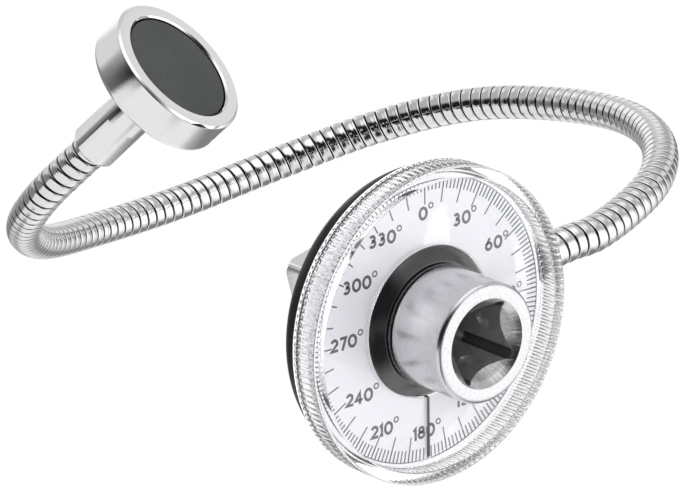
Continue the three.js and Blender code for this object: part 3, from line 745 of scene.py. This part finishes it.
def makeSetScrew():
    radius, low, high, key, keyEnd = setScrew.values()
    corners = [(0, low, 0), (radius, low, 0.15), (radius, high, 0.1), (0, high, 0)]
    screw = lathe("armSetScrew", roundCorners(corners, 4), 48)
    combine(screw, prism("keyHole", circlePoints(key, 6), low - 0.8, keyEnd))
    towardsArm(place(screw, moved(housing["screwPlace"], 0, 0)))
    dress(screw, springSteel, "dial_housing", ["arm_set_screw"])


makeBush()
makePlug()
makeSetScrew()
print("housing made")

# dial face with its print
dial = {
    "inner": 13.2, "outer": 31.0, "low": 34.2, "face": 35.28, "ink": 0.03, "circle": 30.2, "tickWidth": 0.3,
    "shortFrom": 27.6, "longFrom": 24.8, "zeroTurn": 76.0, "digitHeight": 2.9, "stroke": 0.62,
}


def makeDial():
    d = dial
    outline = ringOutline(d["inner"], d["outer"], d["low"], d["face"], 0.15, 3)
    dress(lathe("dialFace", outline, 256), dialWhite, "dial_housing", ["dial_face"])


def makeTickTree():
    # equal marks round a circle, each a thin slab that points outwards
    inputs = {"Count": 180, "From": 0.0276, "To": 0.0302, "Width": 0.0003, "Thickness": 0.00003}
    tree, given, result = newShapeTree("dialTicks", {**inputs, "Height": 0.0353, "First": 0.0})
    middle = times(plus(given["From"], given["To"]), 0.5)
    long = minus(given["To"], given["From"])
    circle = nodeOut(tree, "GeometryNodeMeshCircle", {"Vertices": given["Count"], "Radius": middle})
    size = toVector(X=long, Y=given["Width"], Z=given["Thickness"])
    slab = nodeOut(tree, "GeometryNodeMeshCube", {"Size": size})
    angle = times(nodeOut(tree, "GeometryNodeInputIndex"), over(fullTurn, given["Count"]))
    turnOut = nodeOut(tree, "FunctionNodeEulerToRotation", {0: toVector(Z=angle)})
    inputs = {"Points": circle, "Instance": slab, "Rotation": turnOut}
    copies = nodeOut(tree, "GeometryNodeInstanceOnPoints", inputs)
    lift, spin = toVector(Z=given["Height"]), toVector(Z=given["First"])
    inputs = {"Geometry": copies, "Translation": lift, "Rotation": spin}
    return finishShape(nodeOut(tree, "GeometryNodeTransform", inputs), given, result)


def makeTicks():
    d = dial
    tree = makeTickTree()
    for name, count, start in (("shortTicks", 180, d["shortFrom"]), ("longTicks", 36, d["longFrom"])):
        values = {
            "Count": count,
            "From": start * mm,
            "To": d["circle"] * mm,
            "Width": d["tickWidth"] * mm,
            "Thickness": d["ink"] * mm,
            "Height": (d["face"] + d["ink"] / 2) * mm,
            "First": radians(d["zeroTurn"]),
            "Material": dialInk,
        }
        dress(runTree(newPiece(name, [(0, 0, 0)], []), tree, values), None, "dial_housing")
    section = rectangle(d["circle"] - 0.1, d["circle"] + 0.1, d["face"], d["face"] + d["ink"])
    dress(lathe("scaleCircle", section, 256), dialInk, "dial_housing")


# centre lines of the numbers in a box one unit high; a stroke that ends where it starts is closed
digitStrokes = {
    "0": [arc(0, 0, 0.31, 0.4, 0, 360, 32)],
    "1": [[(-0.14, 0.24), (0.05, 0.38), (0.05, -0.5)]],
    "2": [arc(-0.01, 0.15, 0.24, 0.24, 165, -25) + [(-0.27, -0.39), (0.3, -0.39)]],
    "3": [arc(-0.04, 0.19, 0.2, 0.2, 150, -80) + arc(-0.04, -0.17, 0.24, 0.22, 80, -150)],
    "4": [[(0.11, -0.5), (0.11, 0.36), (-0.27, -0.2), (0.34, -0.2)]],
    "5": [[(0.25, 0.39), (-0.15, 0.39), (-0.2, 0.03)] + arc(-0.03, -0.14, 0.25, 0.25, 125, -150)],
    "6": [arc(0, -0.14, 0.25, 0.25, 0, 360, 28), [(-0.23, -0.06), (0.1, 0.44)]],
    "7": [[(-0.27, 0.39), (0.25, 0.39), (-0.08, -0.5)]],
    "8": [arc(0, 0.2, 0.19, 0.19, 0, 360, 28), arc(0, -0.17, 0.25, 0.22, 0, 360, 28)],
    "9": [arc(0, 0.14, 0.25, 0.25, 0, 360, 28), [(0.23, 0.06), (-0.1, -0.44)]],
}
# half the room that each digit takes up, in millimetres
digitHalf = dict(zip("0123456789", (1.33, 0.58, 1.15, 1.18, 1.2, 1.15, 1.2, 1.07, 1.15, 1.2)))
# each number's distance from the spindle and its place round the dial in degrees, from 0 to 330
labels = [
    (23.0, 358.8), (22.0, 26.6), (22.2, 56.2), (22.2, 89.0), (21.8, 121.0), (22.6, 151.0), (24.1, 181.9),
    (24.0, 210.2), (21.6, 235.9), (21.7, 271.2), (21.6, 303.5), (23.0, 330.7),
]


def ribbon(points, faces, line, width, low, high):
    # adds a flat stroke of even width along the line
    closed = (Vector(line[0]) - Vector(line[-1])).length < 1e-6
    if closed:
        line = line[:-1]
    count = len(line)
    first = len(points)
    for i, here in enumerate(line):
        here = Vector(here)
        before = Vector(line[i - 1]) if closed or i else None
        after = Vector(line[(i + 1) % count]) if closed or i < count - 1 else None
        a = (here - before).normalized() if before is not None else (after - here).normalized()
        b = (after - here).normalized() if after is not None else a
        normal = Vector((-(a.y + b.y), a.x + b.x)).normalized()
        miter = width / 2 / max(0.45, normal.dot(Vector((-a.y, a.x))))
        for side, height in ((1, low), (-1, low), (-1, high), (1, high)):
            p = here + normal * miter * side
            points.append((p.x, p.y, height))
    for i in range(count if closed else count - 1):
        a, b = first + 4 * i, first + 4 * ((i + 1) % count)
        for j in range(4):
            k = (j + 1) % 4
            faces.append((a + j, a + k, b + k, b + j))
    if not closed:
        faces.append((first + 3, first + 2, first + 1, first))
        last = first + 4 * (count - 1)
        faces.append((last, last + 1, last + 2, last + 3))


def makeNumbers():
    d = dial
    points, faces = [], []
    right = radians(d["zeroTurn"] - 90)
    cosine, sine = cos(right), sin(right)

    def draw(middle, line, width):
        placed = [(middle.x + x * cosine - y * sine, middle.y + x * sine + y * cosine) for x, y in line]
        ribbon(points, faces, placed, width, d["face"], d["face"] + d["ink"])

    for i, (radius, around) in enumerate(labels):
        text = str(30 * i)
        angle = radians(d["zeroTurn"] - around)
        middle = Vector((radius * cos(angle), radius * sin(angle)))
        shift = -sum(digitHalf[digit] for digit in text)
        for digit in text:
            shift += digitHalf[digit]
            for stroke in digitStrokes[digit]:
                line = [(shift + x * d["digitHeight"], y * d["digitHeight"]) for x, y in stroke]
                draw(middle, line, d["stroke"])
            shift += digitHalf[digit]
        draw(middle, arc(shift + 0.75, 1.3, 0.55, 0.55, 0, 360, 24), 0.3)
    dress(newPiece("dialNumbers", points, faces), dialInk, "dial_housing")


makeDial()
makeTicks()
makeNumbers()
print("dial made")

# clear cover
cover = {
    "radius": 33.3,
    "inner": 30.6,
    "back": 34.2,
    "front": 41.1,
    "skirt": 31.4,
    "windowBack": 35.58,
    "windowFront": 37.18,
    "bore": 16.0,
    "teeth": 144,
    "toothDepth": 0.3,
    "stepsPerTooth": 8,
    # how deep the teeth are at each height over the cover's back: plain lips at both ends
    "knurl": [(0, 0), (0.42, 0), (0.52, 1), (0.8, 1), (0.9, 0.2), (1.85, 0.2), (2.0, 1), (5.9, 1), (6.2, 0)],
}


def makeKnurlTree():
    # pushes the masked surface in between the teeth of a straight knurl
    tree, given, result = newShapeTree("straightKnurl", {"Teeth": 144, "Depth": 0.0003, "Steepness": 1.6})
    named = addNode(tree, "GeometryNodeInputNamedAttribute", {"Name": "knurl"}, data_type="FLOAT")
    spot = nodeOut(tree, "GeometryNodeInputPosition")
    parts = addNode(tree, "ShaderNodeSeparateXYZ", {0: spot}).outputs
    angle = calc("ARCTAN2", parts["Y"], parts["X"])
    wave = times(calc("COSINE", times(angle, given["Teeth"])), given["Steepness"])
    high = nodeOut(tree, "ShaderNodeClamp", {"Value": wave, "Min": -1.0, "Max": 1.0})
    inward = times(minus(high, 1.0), times(given["Depth"], 0.5))
    outward = vectorCalc("NORMALIZE", toVector(X=parts["X"], Y=parts["Y"]))
    push = vectorCalc("SCALE", outward, times(inward, named.outputs["Attribute"]))
    shaped = nodeOut(tree, "GeometryNodeSetPosition", {"Geometry": given["Geometry"], "Offset": push})
    return finishShape(shaped, given, result)


def makeCover():
    c = cover
    radius, inner, bore, skirt = c["radius"], c["inner"], c["bore"], c["skirt"]
    back, front, low, high = c["back"], c["front"], c["windowBack"], c["windowFront"]
    corners = [(skirt, back, 0.15), (radius, back, 0.2)]
    corners += [(radius, back + height, 0) for height, _ in c["knurl"][1:]]
    corners += [(radius, front, 0.4), (inner, front, 0.35), (inner, high, 0.25), (bore, high, 0.12)]
    corners += [(bore, low, 0.12), (skirt, low, 0.15)]
    ring = lathe("clearCover", roundCorners(corners, 4), c["teeth"] * c["stepsPerTooth"])
    heights, shares = zip(*c["knurl"])
    depths = []
    for vertex in ring.data.vertices:
        x, y, z = [v / mm for v in vertex.co]
        depths.append(np.interp(z - back, heights, shares) if hypot(x, y) > radius - 0.05 else 0.0)
    ring.data.attributes.new("knurl", "FLOAT", "POINT").data.foreach_set("value", depths)
    values = {"Teeth": c["teeth"], "Depth": c["toothDepth"] * mm, "Steepness": 1.6, "Material": clearPlastic}
    runTree(ring, makeKnurlTree(), values)
    dress(ring, None, "cover", ["clear_cover"])


hub = {"inner": 10.85, "radius": 15.9, "low": 35.58, "rim": 36.58, "high": 38.78, "top": 13.0}


def makeHub():
    h = hub
    inner, radius, high = h["inner"], h["radius"], h["high"]
    corners = [(inner, h["low"], 0.1), (radius, h["low"], 0.1), (radius, h["rim"], 0.3)]
    corners += [(14.74, 37.504, 1.5), (h["top"], high, 0.25), (inner, high, 0.1)]
    dress(lathe("coverHub", roundCorners(corners), 256), hubBlack, "cover", ["cover_hub"])


pointer = {"from": 16.32, "to": 29.6, "width": 0.52, "low": 35.58, "high": 35.93, "turn": -104}


def makePointer():
    p = pointer
    half = p["width"] / 2
    line = prism("pointerLine", rectangle(p["from"], p["to"], -half, half), p["low"], p["high"])
    soften(line, 0.04, 2)
    place(line, turned(p["turn"]))
    dress(line, pointerInk, "cover", ["pointer_line"])


makeCover()
makeHub()
makePointer()
print("cover made")

# bending arm
arm = {
    "radius": 3.93,
    "groove": 0.45,
    "grooveWidth": 0.066,
    "crown": 0.08,
    "bore": 2.3,
    "lean": 0.06,
    "ribs": 123,
    "starts": [0, 21, 41, 62, 82, 103, 123],
    "rowsPerTurn": 14,
    "sides": 44,
    "blendReach": 25.0,
}


def smoothRoute(route, steps):
    # the centripetal curve through the route's points
    knots = [Vector(p) for p in route]
    knots = [knots[0] * 2 - knots[1], *knots, knots[-1] * 2 - knots[-2]]
    points = []
    for i in range(1, len(knots) - 2):
        p0, p1, p2, p3 = knots[i - 1 : i + 3]
        d0, d1, d2 = [(b - a).length ** 0.5 for a, b in ((p0, p1), (p1, p2), (p2, p3))]
        start = ((p1 - p0) / d0 - (p2 - p0) / (d0 + d1) + (p2 - p1) / d1) * d1
        end = ((p2 - p1) / d1 - (p3 - p1) / (d1 + d2) + (p3 - p2) / d2) * d1
        square = (p2 - p1) * 3 - start * 2 - end
        cube = (p1 - p2) * 2 + start + end
        last = i == len(knots) - 3
        for k in range(steps + (1 if last else 0)):
            t = k / steps
            points.append(p1 + start * t + square * t**2 + cube * t**3)
    return points


armLine = smoothRoute(armRoute, 40)
armMarks = np.concatenate([[0], np.cumsum([(b - a).length for a, b in zip(armLine, armLine[1:])])])
armLength = float(armMarks[-1])
pitch = armLength / arm["ribs"]
print("arm is", round(armLength, 2), "mm long, one turn", round(pitch, 3))


def routeCurve():
    curve = bpy.data.curves.new("armRoute", "CURVE")
    curve.dimensions = "3D"
    curve.twist_mode = "MINIMUM"
    line = curve.splines.new("POLY")
    line.points.add(len(armLine) - 1)
    for point, here in zip(line.points, armLine):
        point.co = (*(here * mm), 1)
    return addPiece("armRoute", curve)


def roundRoute(route, where, radius, angle):
    # the point at this distance along the route, and at this radius and angle round it
    inputs = {"Curves": route, "Length": where}
    line = addNode(route.id_data, "GeometryNodeSampleCurve", inputs, mode="LENGTH", use_all_curves=True).outputs
    side = vectorCalc("CROSS_PRODUCT", line["Tangent"], line["Normal"])
    one = vectorCalc("SCALE", line["Normal"], times(radius, calc("COSINE", angle)))
    two = vectorCalc("SCALE", side, times(radius, calc("SINE", angle)))
    return vectorCalc("ADD", vectorCalc("ADD", one, two), line["Position"])


def makeSkinTree():
    # a wound skin round the curve: each row runs one helical turn, with a groove between two turns,
    # and the last rows come back through the bore and close the shell
    inputs = {"Start": 0.0, "End": 0.05, "Pitch": 0.0027, "Rows": 300, "Rows Per Turn": 14, "Bore Rows": 24}
    sizes = {"Sides": 44, "Radius": 0.004, "Groove": 0.0004, "Bore": 0.0023, "Lean": 0.00005}
    tree, given, result = newShapeTree("woundSkin", {**inputs, **sizes})
    rowsAll = plus(plus(given["Rows"], given["Bore Rows"]), 1.0)
    around = plus(given["Sides"], 1.0)
    inputs = {"Size X": 1.0, "Size Y": 1.0, "Vertices X": rowsAll, "Vertices Y": around}
    grid = addNode(tree, "GeometryNodeMeshGrid", inputs).outputs["Mesh"]
    index = nodeOut(tree, "GeometryNodeInputIndex")
    row = calc("FLOOR", over(plus(index, 0.5), around))
    column = minus(index, times(row, around))
    share = over(column, given["Sides"])

    # outer rows: crowded at the groove, pushed along by the helix
    turns = minus(over(row, given["Rows Per Turn"]), 1.0)
    crowd = times(calc("SINE", times(turns, fullTurn)), 0.85 / fullTurn)
    first = calc("FLOOR", over(given["Start"], given["Pitch"]))
    wound = plus(plus(minus(turns, crowd), share), first)
    outer = times(wound, given["Pitch"])
    outer = calc("MINIMUM", calc("MAXIMUM", outer, given["Start"]), given["End"])

    # bore rows: back from the end to the start, then one row that meets the first
    back = over(minus(row, given["Rows"]), minus(given["Bore Rows"], 1.0))
    back = nodeOut(tree, "ShaderNodeClamp", {"Value": back})
    span = minus(given["Start"], given["End"])
    inner = plus(given["End"], times(back, span))
    inBore = calc("GREATER_THAN", row, minus(given["Rows"], 0.5))
    closing = calc("GREATER_THAN", row, minus(rowsAll, 1.5))
    where = mix(inBore, outer, inner)

    wraps = over(where, given["Pitch"])
    phase = minus(wraps, share)
    offset = minus(phase, calc("ROUND", phase))
    off = calc("ABSOLUTE", offset)
    narrow = calc("POWER", over(off, arm["grooveWidth"]), 2.0)
    groove = calc("EXPONENT", times(narrow, -1.0))
    crown = times(calc("POWER", times(off, 2.0), 3.0), arm["crown"])
    low = calc("MAXIMUM", groove, minus(arm["crown"], crown))
    # every turn leans over the next, here more and there less
    inputs = {"W": wraps, "Scale": 0.7, "Detail": 1.0}
    chance = nodeOut(tree, "ShaderNodeTexNoise", inputs, noise_dimensions="1D")
    lean = times(chance, times(given["Lean"], 2.0))
    slope = times(plus(offset, 0.5), lean)
    skin = minus(given["Radius"], plus(times(low, given["Groove"]), slope))
    radius = mix(minus(inBore, closing), skin, given["Bore"])

    spot = roundRoute(given["Geometry"], where, radius, times(share, fullTurn))
    shaped = nodeOut(tree, "GeometryNodeSetPosition", {"Geometry": grid, "Position": spot})
    inputs = {"Geometry": shaped, "Name": "groove", "Value": groove}
    marked = nodeOut(tree, "GeometryNodeStoreNamedAttribute", inputs, data_type="FLOAT", domain="POINT")
    closed = nodeOut(tree, "GeometryNodeMergeByDistance", {"Geometry": marked, "Distance": 0.000002})
    return finishShape(closed, given, result)


def plainMesh(curveObject, name):
    # the mesh that the curve's modifier makes, as its own object
    evaluated = curveObject.evaluated_get(bpy.context.evaluated_depsgraph_get())
    mesh = bpy.data.meshes.new_from_object(evaluated)
    bpy.data.objects.remove(curveObject)
    return addPiece(name, cleanMesh(mesh, False))


def stretchCuts():
    # where one wound piece ends and the next begins: the middles of the stretches between two bends
    starts = arm["starts"]
    middles = [round((starts[k] + starts[k + 1]) / 2) for k in range(1, 5)]
    return [0, *middles, arm["ribs"]]


def makeWound(name, k, tree, values, node, sharp=None):
    # one of the arm's wound pieces, which spans the place where two of the arm's bodies meet
    curve = routeCurve()
    setInputs(curve, tree, values)
    piece = plainMesh(curve, name + str(k + 1))
    piece.data.shade_smooth()
    if sharp:
        piece.data.set_sharp_from_angle(angle=radians(sharp))
    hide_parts(*[node + str(number) for number in ((5, 6) if k == 4 else (k + 1,))])
    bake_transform(piece)


def makeArmSkin():
    tree = makeSkinTree()
    cuts = stretchCuts()
    sizes = {key: arm[key.lower()] * mm for key in ("Radius", "Groove", "Bore", "Lean")}
    for k in range(5):
        ribs = cuts[k + 1] - cuts[k]
        values = {
            "Start": cuts[k] * pitch * mm,
            "End": cuts[k + 1] * pitch * mm,
            "Pitch": pitch * mm,
            "Rows": (ribs + 2) * arm["rowsPerTurn"],
            "Rows Per Turn": arm["rowsPerTurn"],
            "Bore Rows": 2 * ribs,
            "Sides": arm["sides"],
            "Material": armSteel,
            **sizes,
        }
        makeWound("armSkin", k, tree, values, "hose_", 60)


innerCoil = {"radius": 1.25, "wire": 0.5, "pitch": 1.04, "from": 7.2, "stop": 0.4, "steps": 16, "sides": 8}


def makeCoilTree():
    # a close-wound wire round the curve, between two distances along it
    inputs = {"Start": 0.0, "End": 0.05, "Steps": 800, "Turns": 50.0, "Radius": 0.0012, "Wire": 0.0005}
    tree, given, result = newShapeTree("closeCoil", {**inputs, "Sides": 8})
    line = nodeOut(tree, "GeometryNodeMeshLine", {"Count": given["Steps"]}, mode="OFFSET")
    index = nodeOut(tree, "GeometryNodeInputIndex")
    share = over(index, minus(given["Steps"], 1.0))
    span = minus(given["End"], given["Start"])
    where = plus(given["Start"], times(share, span))
    angle = times(times(share, given["Turns"]), fullTurn)
    spot = roundRoute(given["Geometry"], where, given["Radius"], angle)
    wound = nodeOut(tree, "GeometryNodeSetPosition", {"Geometry": line, "Position": spot})
    asCurve = nodeOut(tree, "GeometryNodeMeshToCurve", {"Mesh": wound})
    inputs = {"Resolution": given["Sides"], "Radius": given["Wire"]}
    section = nodeOut(tree, "GeometryNodeCurvePrimitiveCircle", inputs)
    inputs = {"Curve": asCurve, "Profile Curve": section, "Fill Caps": True}
    return finishShape(nodeOut(tree, "GeometryNodeCurveToMesh", inputs), given, result)


def makeInnerCoils():
    tree = makeCoilTree()
    cuts = stretchCuts()
    c = innerCoil
    for k in range(5):
        start = c["from"] if k == 0 else cuts[k] * pitch
        end = armLength - c["stop"] if k == 4 else cuts[k + 1] * pitch
        turns = (end - start - 2 * c["wire"]) / c["pitch"]
        values = {
            "Start": (start + c["wire"]) * mm,
            "End": (end - c["wire"]) * mm,
            "Steps": int(turns * c["steps"]),
            "Turns": turns,
            "Radius": c["radius"] * mm,
            "Wire": c["wire"] * mm,
            "Sides": c["sides"],
            "Material": springSteel,
        }
        makeWound("innerCoil", k, tree, values, "inner_coil_")


makeArmSkin()
makeInnerCoils()
print("arm made")

# magnet head, along +Z from the face that grips
head = {
    "face": (-7.1004, 48.487, -19.3118),
    "axis": (0.4918, 0.5964, 0.6343),
    "cup": 15.9,
    "depth": 8.6,
    "pocket": 6.0,
    "pocketRadius": 12.6,
    "screwHole": 1.8,
    "backRound": 1.3,
    "edge": 0.5,
    "magnet": 12.3,
    "recess": 0.45,
    "ferrule": 5.15,
    "ferruleTop": -8.9,
    "ferruleEnd": -29.0,
    "flats": 9.6,
    "flatsLength": 10.6,
    "chamfer": 0.7,
    "armHole": 4.3,
    "armHoleDepth": 7.9,
}
headTurn = Vector((0, 0, 1)).rotation_difference(Vector(head["axis"])).to_matrix().to_4x4()
headPlace = Matrix.Translation(Vector(head["face"]) * mm) @ headTurn


def makeCup():
    radius, depth, edge, pocket = [head[key] for key in ("cup", "depth", "edge", "pocket")]
    inner, hole = head["pocketRadius"], head["screwHole"]
    corners = [(hole, -depth, 0.1), (radius, -depth, head["backRound"]), (radius, -edge, 0.25)]
    corners += [(radius - edge, 0, 0.2), (inner + 0.35, 0, 0.1), (inner, -0.4, 0.1), (inner, -pocket, 0.2)]
    corners += [(hole + 1.4, -pocket, 0), (hole, -pocket - 1.4, 0)]
    cup = lathe("magnetCup", roundCorners(corners, 8), 256)
    dress(place(cup, headPlace), polishedChrome, "arm_6", ["magnet_cup"])


def makeDisc():
    radius, low, high = head["magnet"], 0.3 - head["pocket"], -head["recess"]
    corners = [(0, low, 0), (radius, low, 0.3), (radius, high, 0.35), (0, high, 0)]
    disc = lathe("magnetDisc", roundCorners(corners, 5), 256)
    dress(place(disc, headPlace), ferrite, "arm_6", ["magnet_disc"])


headScrew = {"length": 9.5, "radius": 1.5, "head": 2.9}


def makeHeadScrew():
    length, radius, wide = headScrew.values()
    top = -head["pocket"] - 0.15
    end = top - length
    corners = [(0, end, 0), (radius, end, 0.3), (radius, top - 1.4, 0.1), (wide, top, 0.1), (0, top, 0)]
    screw = lathe("headScrew", roundCorners(corners, 4), 64)
    combine(screw, prism("screwSlot", rectangle(-3.5, 3.5, -0.35, 0.35), top - 0.7, top + 1))
    dress(place(screw, headPlace), springSteel, "arm_6", ["head_screw"])


def makeFerrule():
    h = head
    bottom, top, radius, chamfer = h["ferruleEnd"], h["ferruleTop"], h["ferrule"], h["chamfer"]
    corners = [(0, bottom, 0), (radius - chamfer, bottom, 0.15), (radius, bottom + chamfer, 0.2)]
    corners += [(radius, top, 0.35), (0, top, 0)]
    body = lathe("magnetFerrule", roundCorners(corners, 5))
    reach = h["flats"] / 2
    for i in range(6):
        flat = prism("flatCut", rectangle(reach, reach + 3, -6, 6), bottom - 1, bottom + h["flatsLength"])
        combine(body, place(flat, turned(60 * i)))
    combine(body, cylinder("armHole", h["armHole"], bottom - 1, bottom + h["armHoleDepth"], 96))
    combine(body, cylinder("headHole", h["screwHole"], top - headScrew["length"], top + 1, 48))
    soften(body, 0.14, 2, 30)
    dress(place(body, headPlace), polishedChrome, "arm_6", ["magnet_ferrule"])


makeCup()
makeDisc()
makeHeadScrew()
makeFerrule()
print("magnet head made")

# floor, lamps and world
studio = {
    "floorDrop": 0.075, "floorSize": 6.0, "floorGlow": 0.84, "paper": 1.03, "diffuse": 0.62,
    "mirrored": 0.5,
}
# grey cards round the part, each where a mirror ball would show it to the camera:
# (across, down, half width, half height, turn in degrees, softness of the edge, grey)
cards = [
    (0.88, -0.3, 0.14, 0.4, 0, 0.5, 0.2),
    (-0.82, 0.1, 0.17, 0.4, 0, 0.5, 0.24),
    (0.1, -0.97, 0.6, 0.07, 0, 0.5, 0.95),
    (-0.58, -0.76, 0.32, 0.16, -38, 0.4, 1.05),
    (0.08, -0.52, 0.29, 0.27, 0, 0.35, 1.25),
    (0.66, -0.58, 0.16, 0.12, 0, 0.5, 0.8),
    (0.3, 0.5, 0.36, 0.3, 0, 0.4, 0.8),
    (0.62, 0.08, 0.28, 0.34, 0, 0.45, 1.36),
    (-0.18, -0.02, 0.49, 0.28, 0, 0.25, 0.012),
    (-0.58, 0.42, 0.17, 0.3, 0, 0.15, 0.85),
    (-0.1, 0.66, 0.42, 0.33, 0, 0.15, 0.9),
    (0.6, 0.76, 0.26, 0.2, 0, 0.4, 0.24),
    (-0.6, 0.74, 0.12, 0.12, 0, 0.5, 0.4),
    (0.0, 0.87, 0.22, 0.07, 0, 0.5, 1.0),
    (0.07, 0.42, 0.12, 0.2, 0, 0.5, 0.02),
    (-0.77, -0.36, 0.1, 0.17, 0, 0.4, 0.75),
    (-0.34, 0.34, 0.2, 0.13, 0, 0.3, 0.9),
    (-0.2, -0.87, 0.16, 0.09, 0, 0.4, 0.68),
    (-0.74, 0.45, 0.09, 0.1, 0, 0.4, 0.82),
]


def makeFloor():
    height = (cadBox[0][2] - studio["floorDrop"]) / mm
    half = studio["floorSize"] / 2 / mm
    corners = [(x, y, height) for x, y in rectangle(-half, half, -half, half)]
    floor = newPiece("floor", corners, [(0, 1, 2, 3)])
    material, tree, shader, output = newMaterial("floorPaper")
    fill(shader.inputs, {"Base Color": (0.86, 0.86, 0.86, 1), "Roughness": 0.9})
    path = addNode(tree, "ShaderNodeLightPath").outputs
    seen = calc("MAXIMUM", path["Is Camera Ray"], path["Is Transmission Ray"])
    white = addNode(tree, "ShaderNodeEmission", {"Color": (1, 1, 1, 1), "Strength": studio["paper"]})
    lit = mixShader(times(seen, studio["floorGlow"]), shader, white)
    # polished metal mirrors the cards beyond the floor, and a view from below looks through it
    below = addNode(tree, "ShaderNodeNewGeometry").outputs["Backfacing"]
    away = calc("MAXIMUM", below, path["Is Glossy Ray"])
    both = mixShader(away, lit, addNode(tree, "ShaderNodeBsdfTransparent"))
    fill(output.inputs, {"Surface": both.outputs[0]})
    floor.data.materials.append(material)


def addLamp(name, place, size, power):
    data = bpy.data.lights.new(name, "AREA")
    data.shape = "DISK"
    data.size = size
    data.energy = power
    lamp = addPiece(name, data)
    lamp.visible_glossy = False
    lamp.location = place
    lamp.rotation_mode = "QUATERNION"
    lamp.rotation_quaternion = (Vector((0.02, 0, 0)) - Vector(place)).to_track_quat("-Z", "Y")


def ballSpot(direction):
    # where a mirror ball shows this direction to the camera
    back = tuple(-v for v in camera["forward"])
    half = vectorCalc("NORMALIZE", vectorCalc("ADD", direction, back))
    across, down = [vectorCalc("DOT_PRODUCT", half, camera[axis]) for axis in ("right", "down")]
    return toVector(X=across, Y=down)


def makeWorld():
    world = bpy.data.worlds.new("studio")
    world.use_nodes = True
    scene.world = world
    tree = world.node_tree
    path = addNode(tree, "ShaderNodeLightPath").outputs
    spot = ballSpot(addNode(tree, "ShaderNodeTexCoord").outputs["Generated"])
    mirrored = studio["mirrored"]
    for across, down, wide, high, turnBy, soft, grey in cards:
        inputs = {"Vector": spot, "Location": (across, down, 0), "Scale": (wide, high, 1)}
        inputs["Rotation"] = (0, 0, radians(turnBy))
        flat = nodeOut(tree, "ShaderNodeMapping", inputs, vector_type="TEXTURE")
        far = vectorCalc("LENGTH", flat)
        inside = ramp(far, 1 + soft, 1 - soft, interpolation_type="SMOOTHSTEP")
        mirrored = mix(inside, mirrored, grey)
    plain = calc("MAXIMUM", path["Is Camera Ray"], path["Is Transmission Ray"])
    # only what the camera sees in a mirror, so that no mirror throws patches of light on the dial
    direct = times(path["Is Glossy Ray"], calc("LESS_THAN", path["Diffuse Depth"], 0.5))
    level = mix(plain, mix(direct, studio["diffuse"], mirrored), 1.0)
    fill(tree.nodes["Background"].inputs, {"Color": (1, 1, 1, 1), "Strength": level})


makeFloor()
addLamp("keyLamp", (-0.9, 0.9, 1.1), 0.8, 14)
addLamp("fillLamp", (0.9, -0.6, 1.2), 1.0, 7)
makeWorld()
scene.view_settings.view_transform = "Standard"
print("studio made")
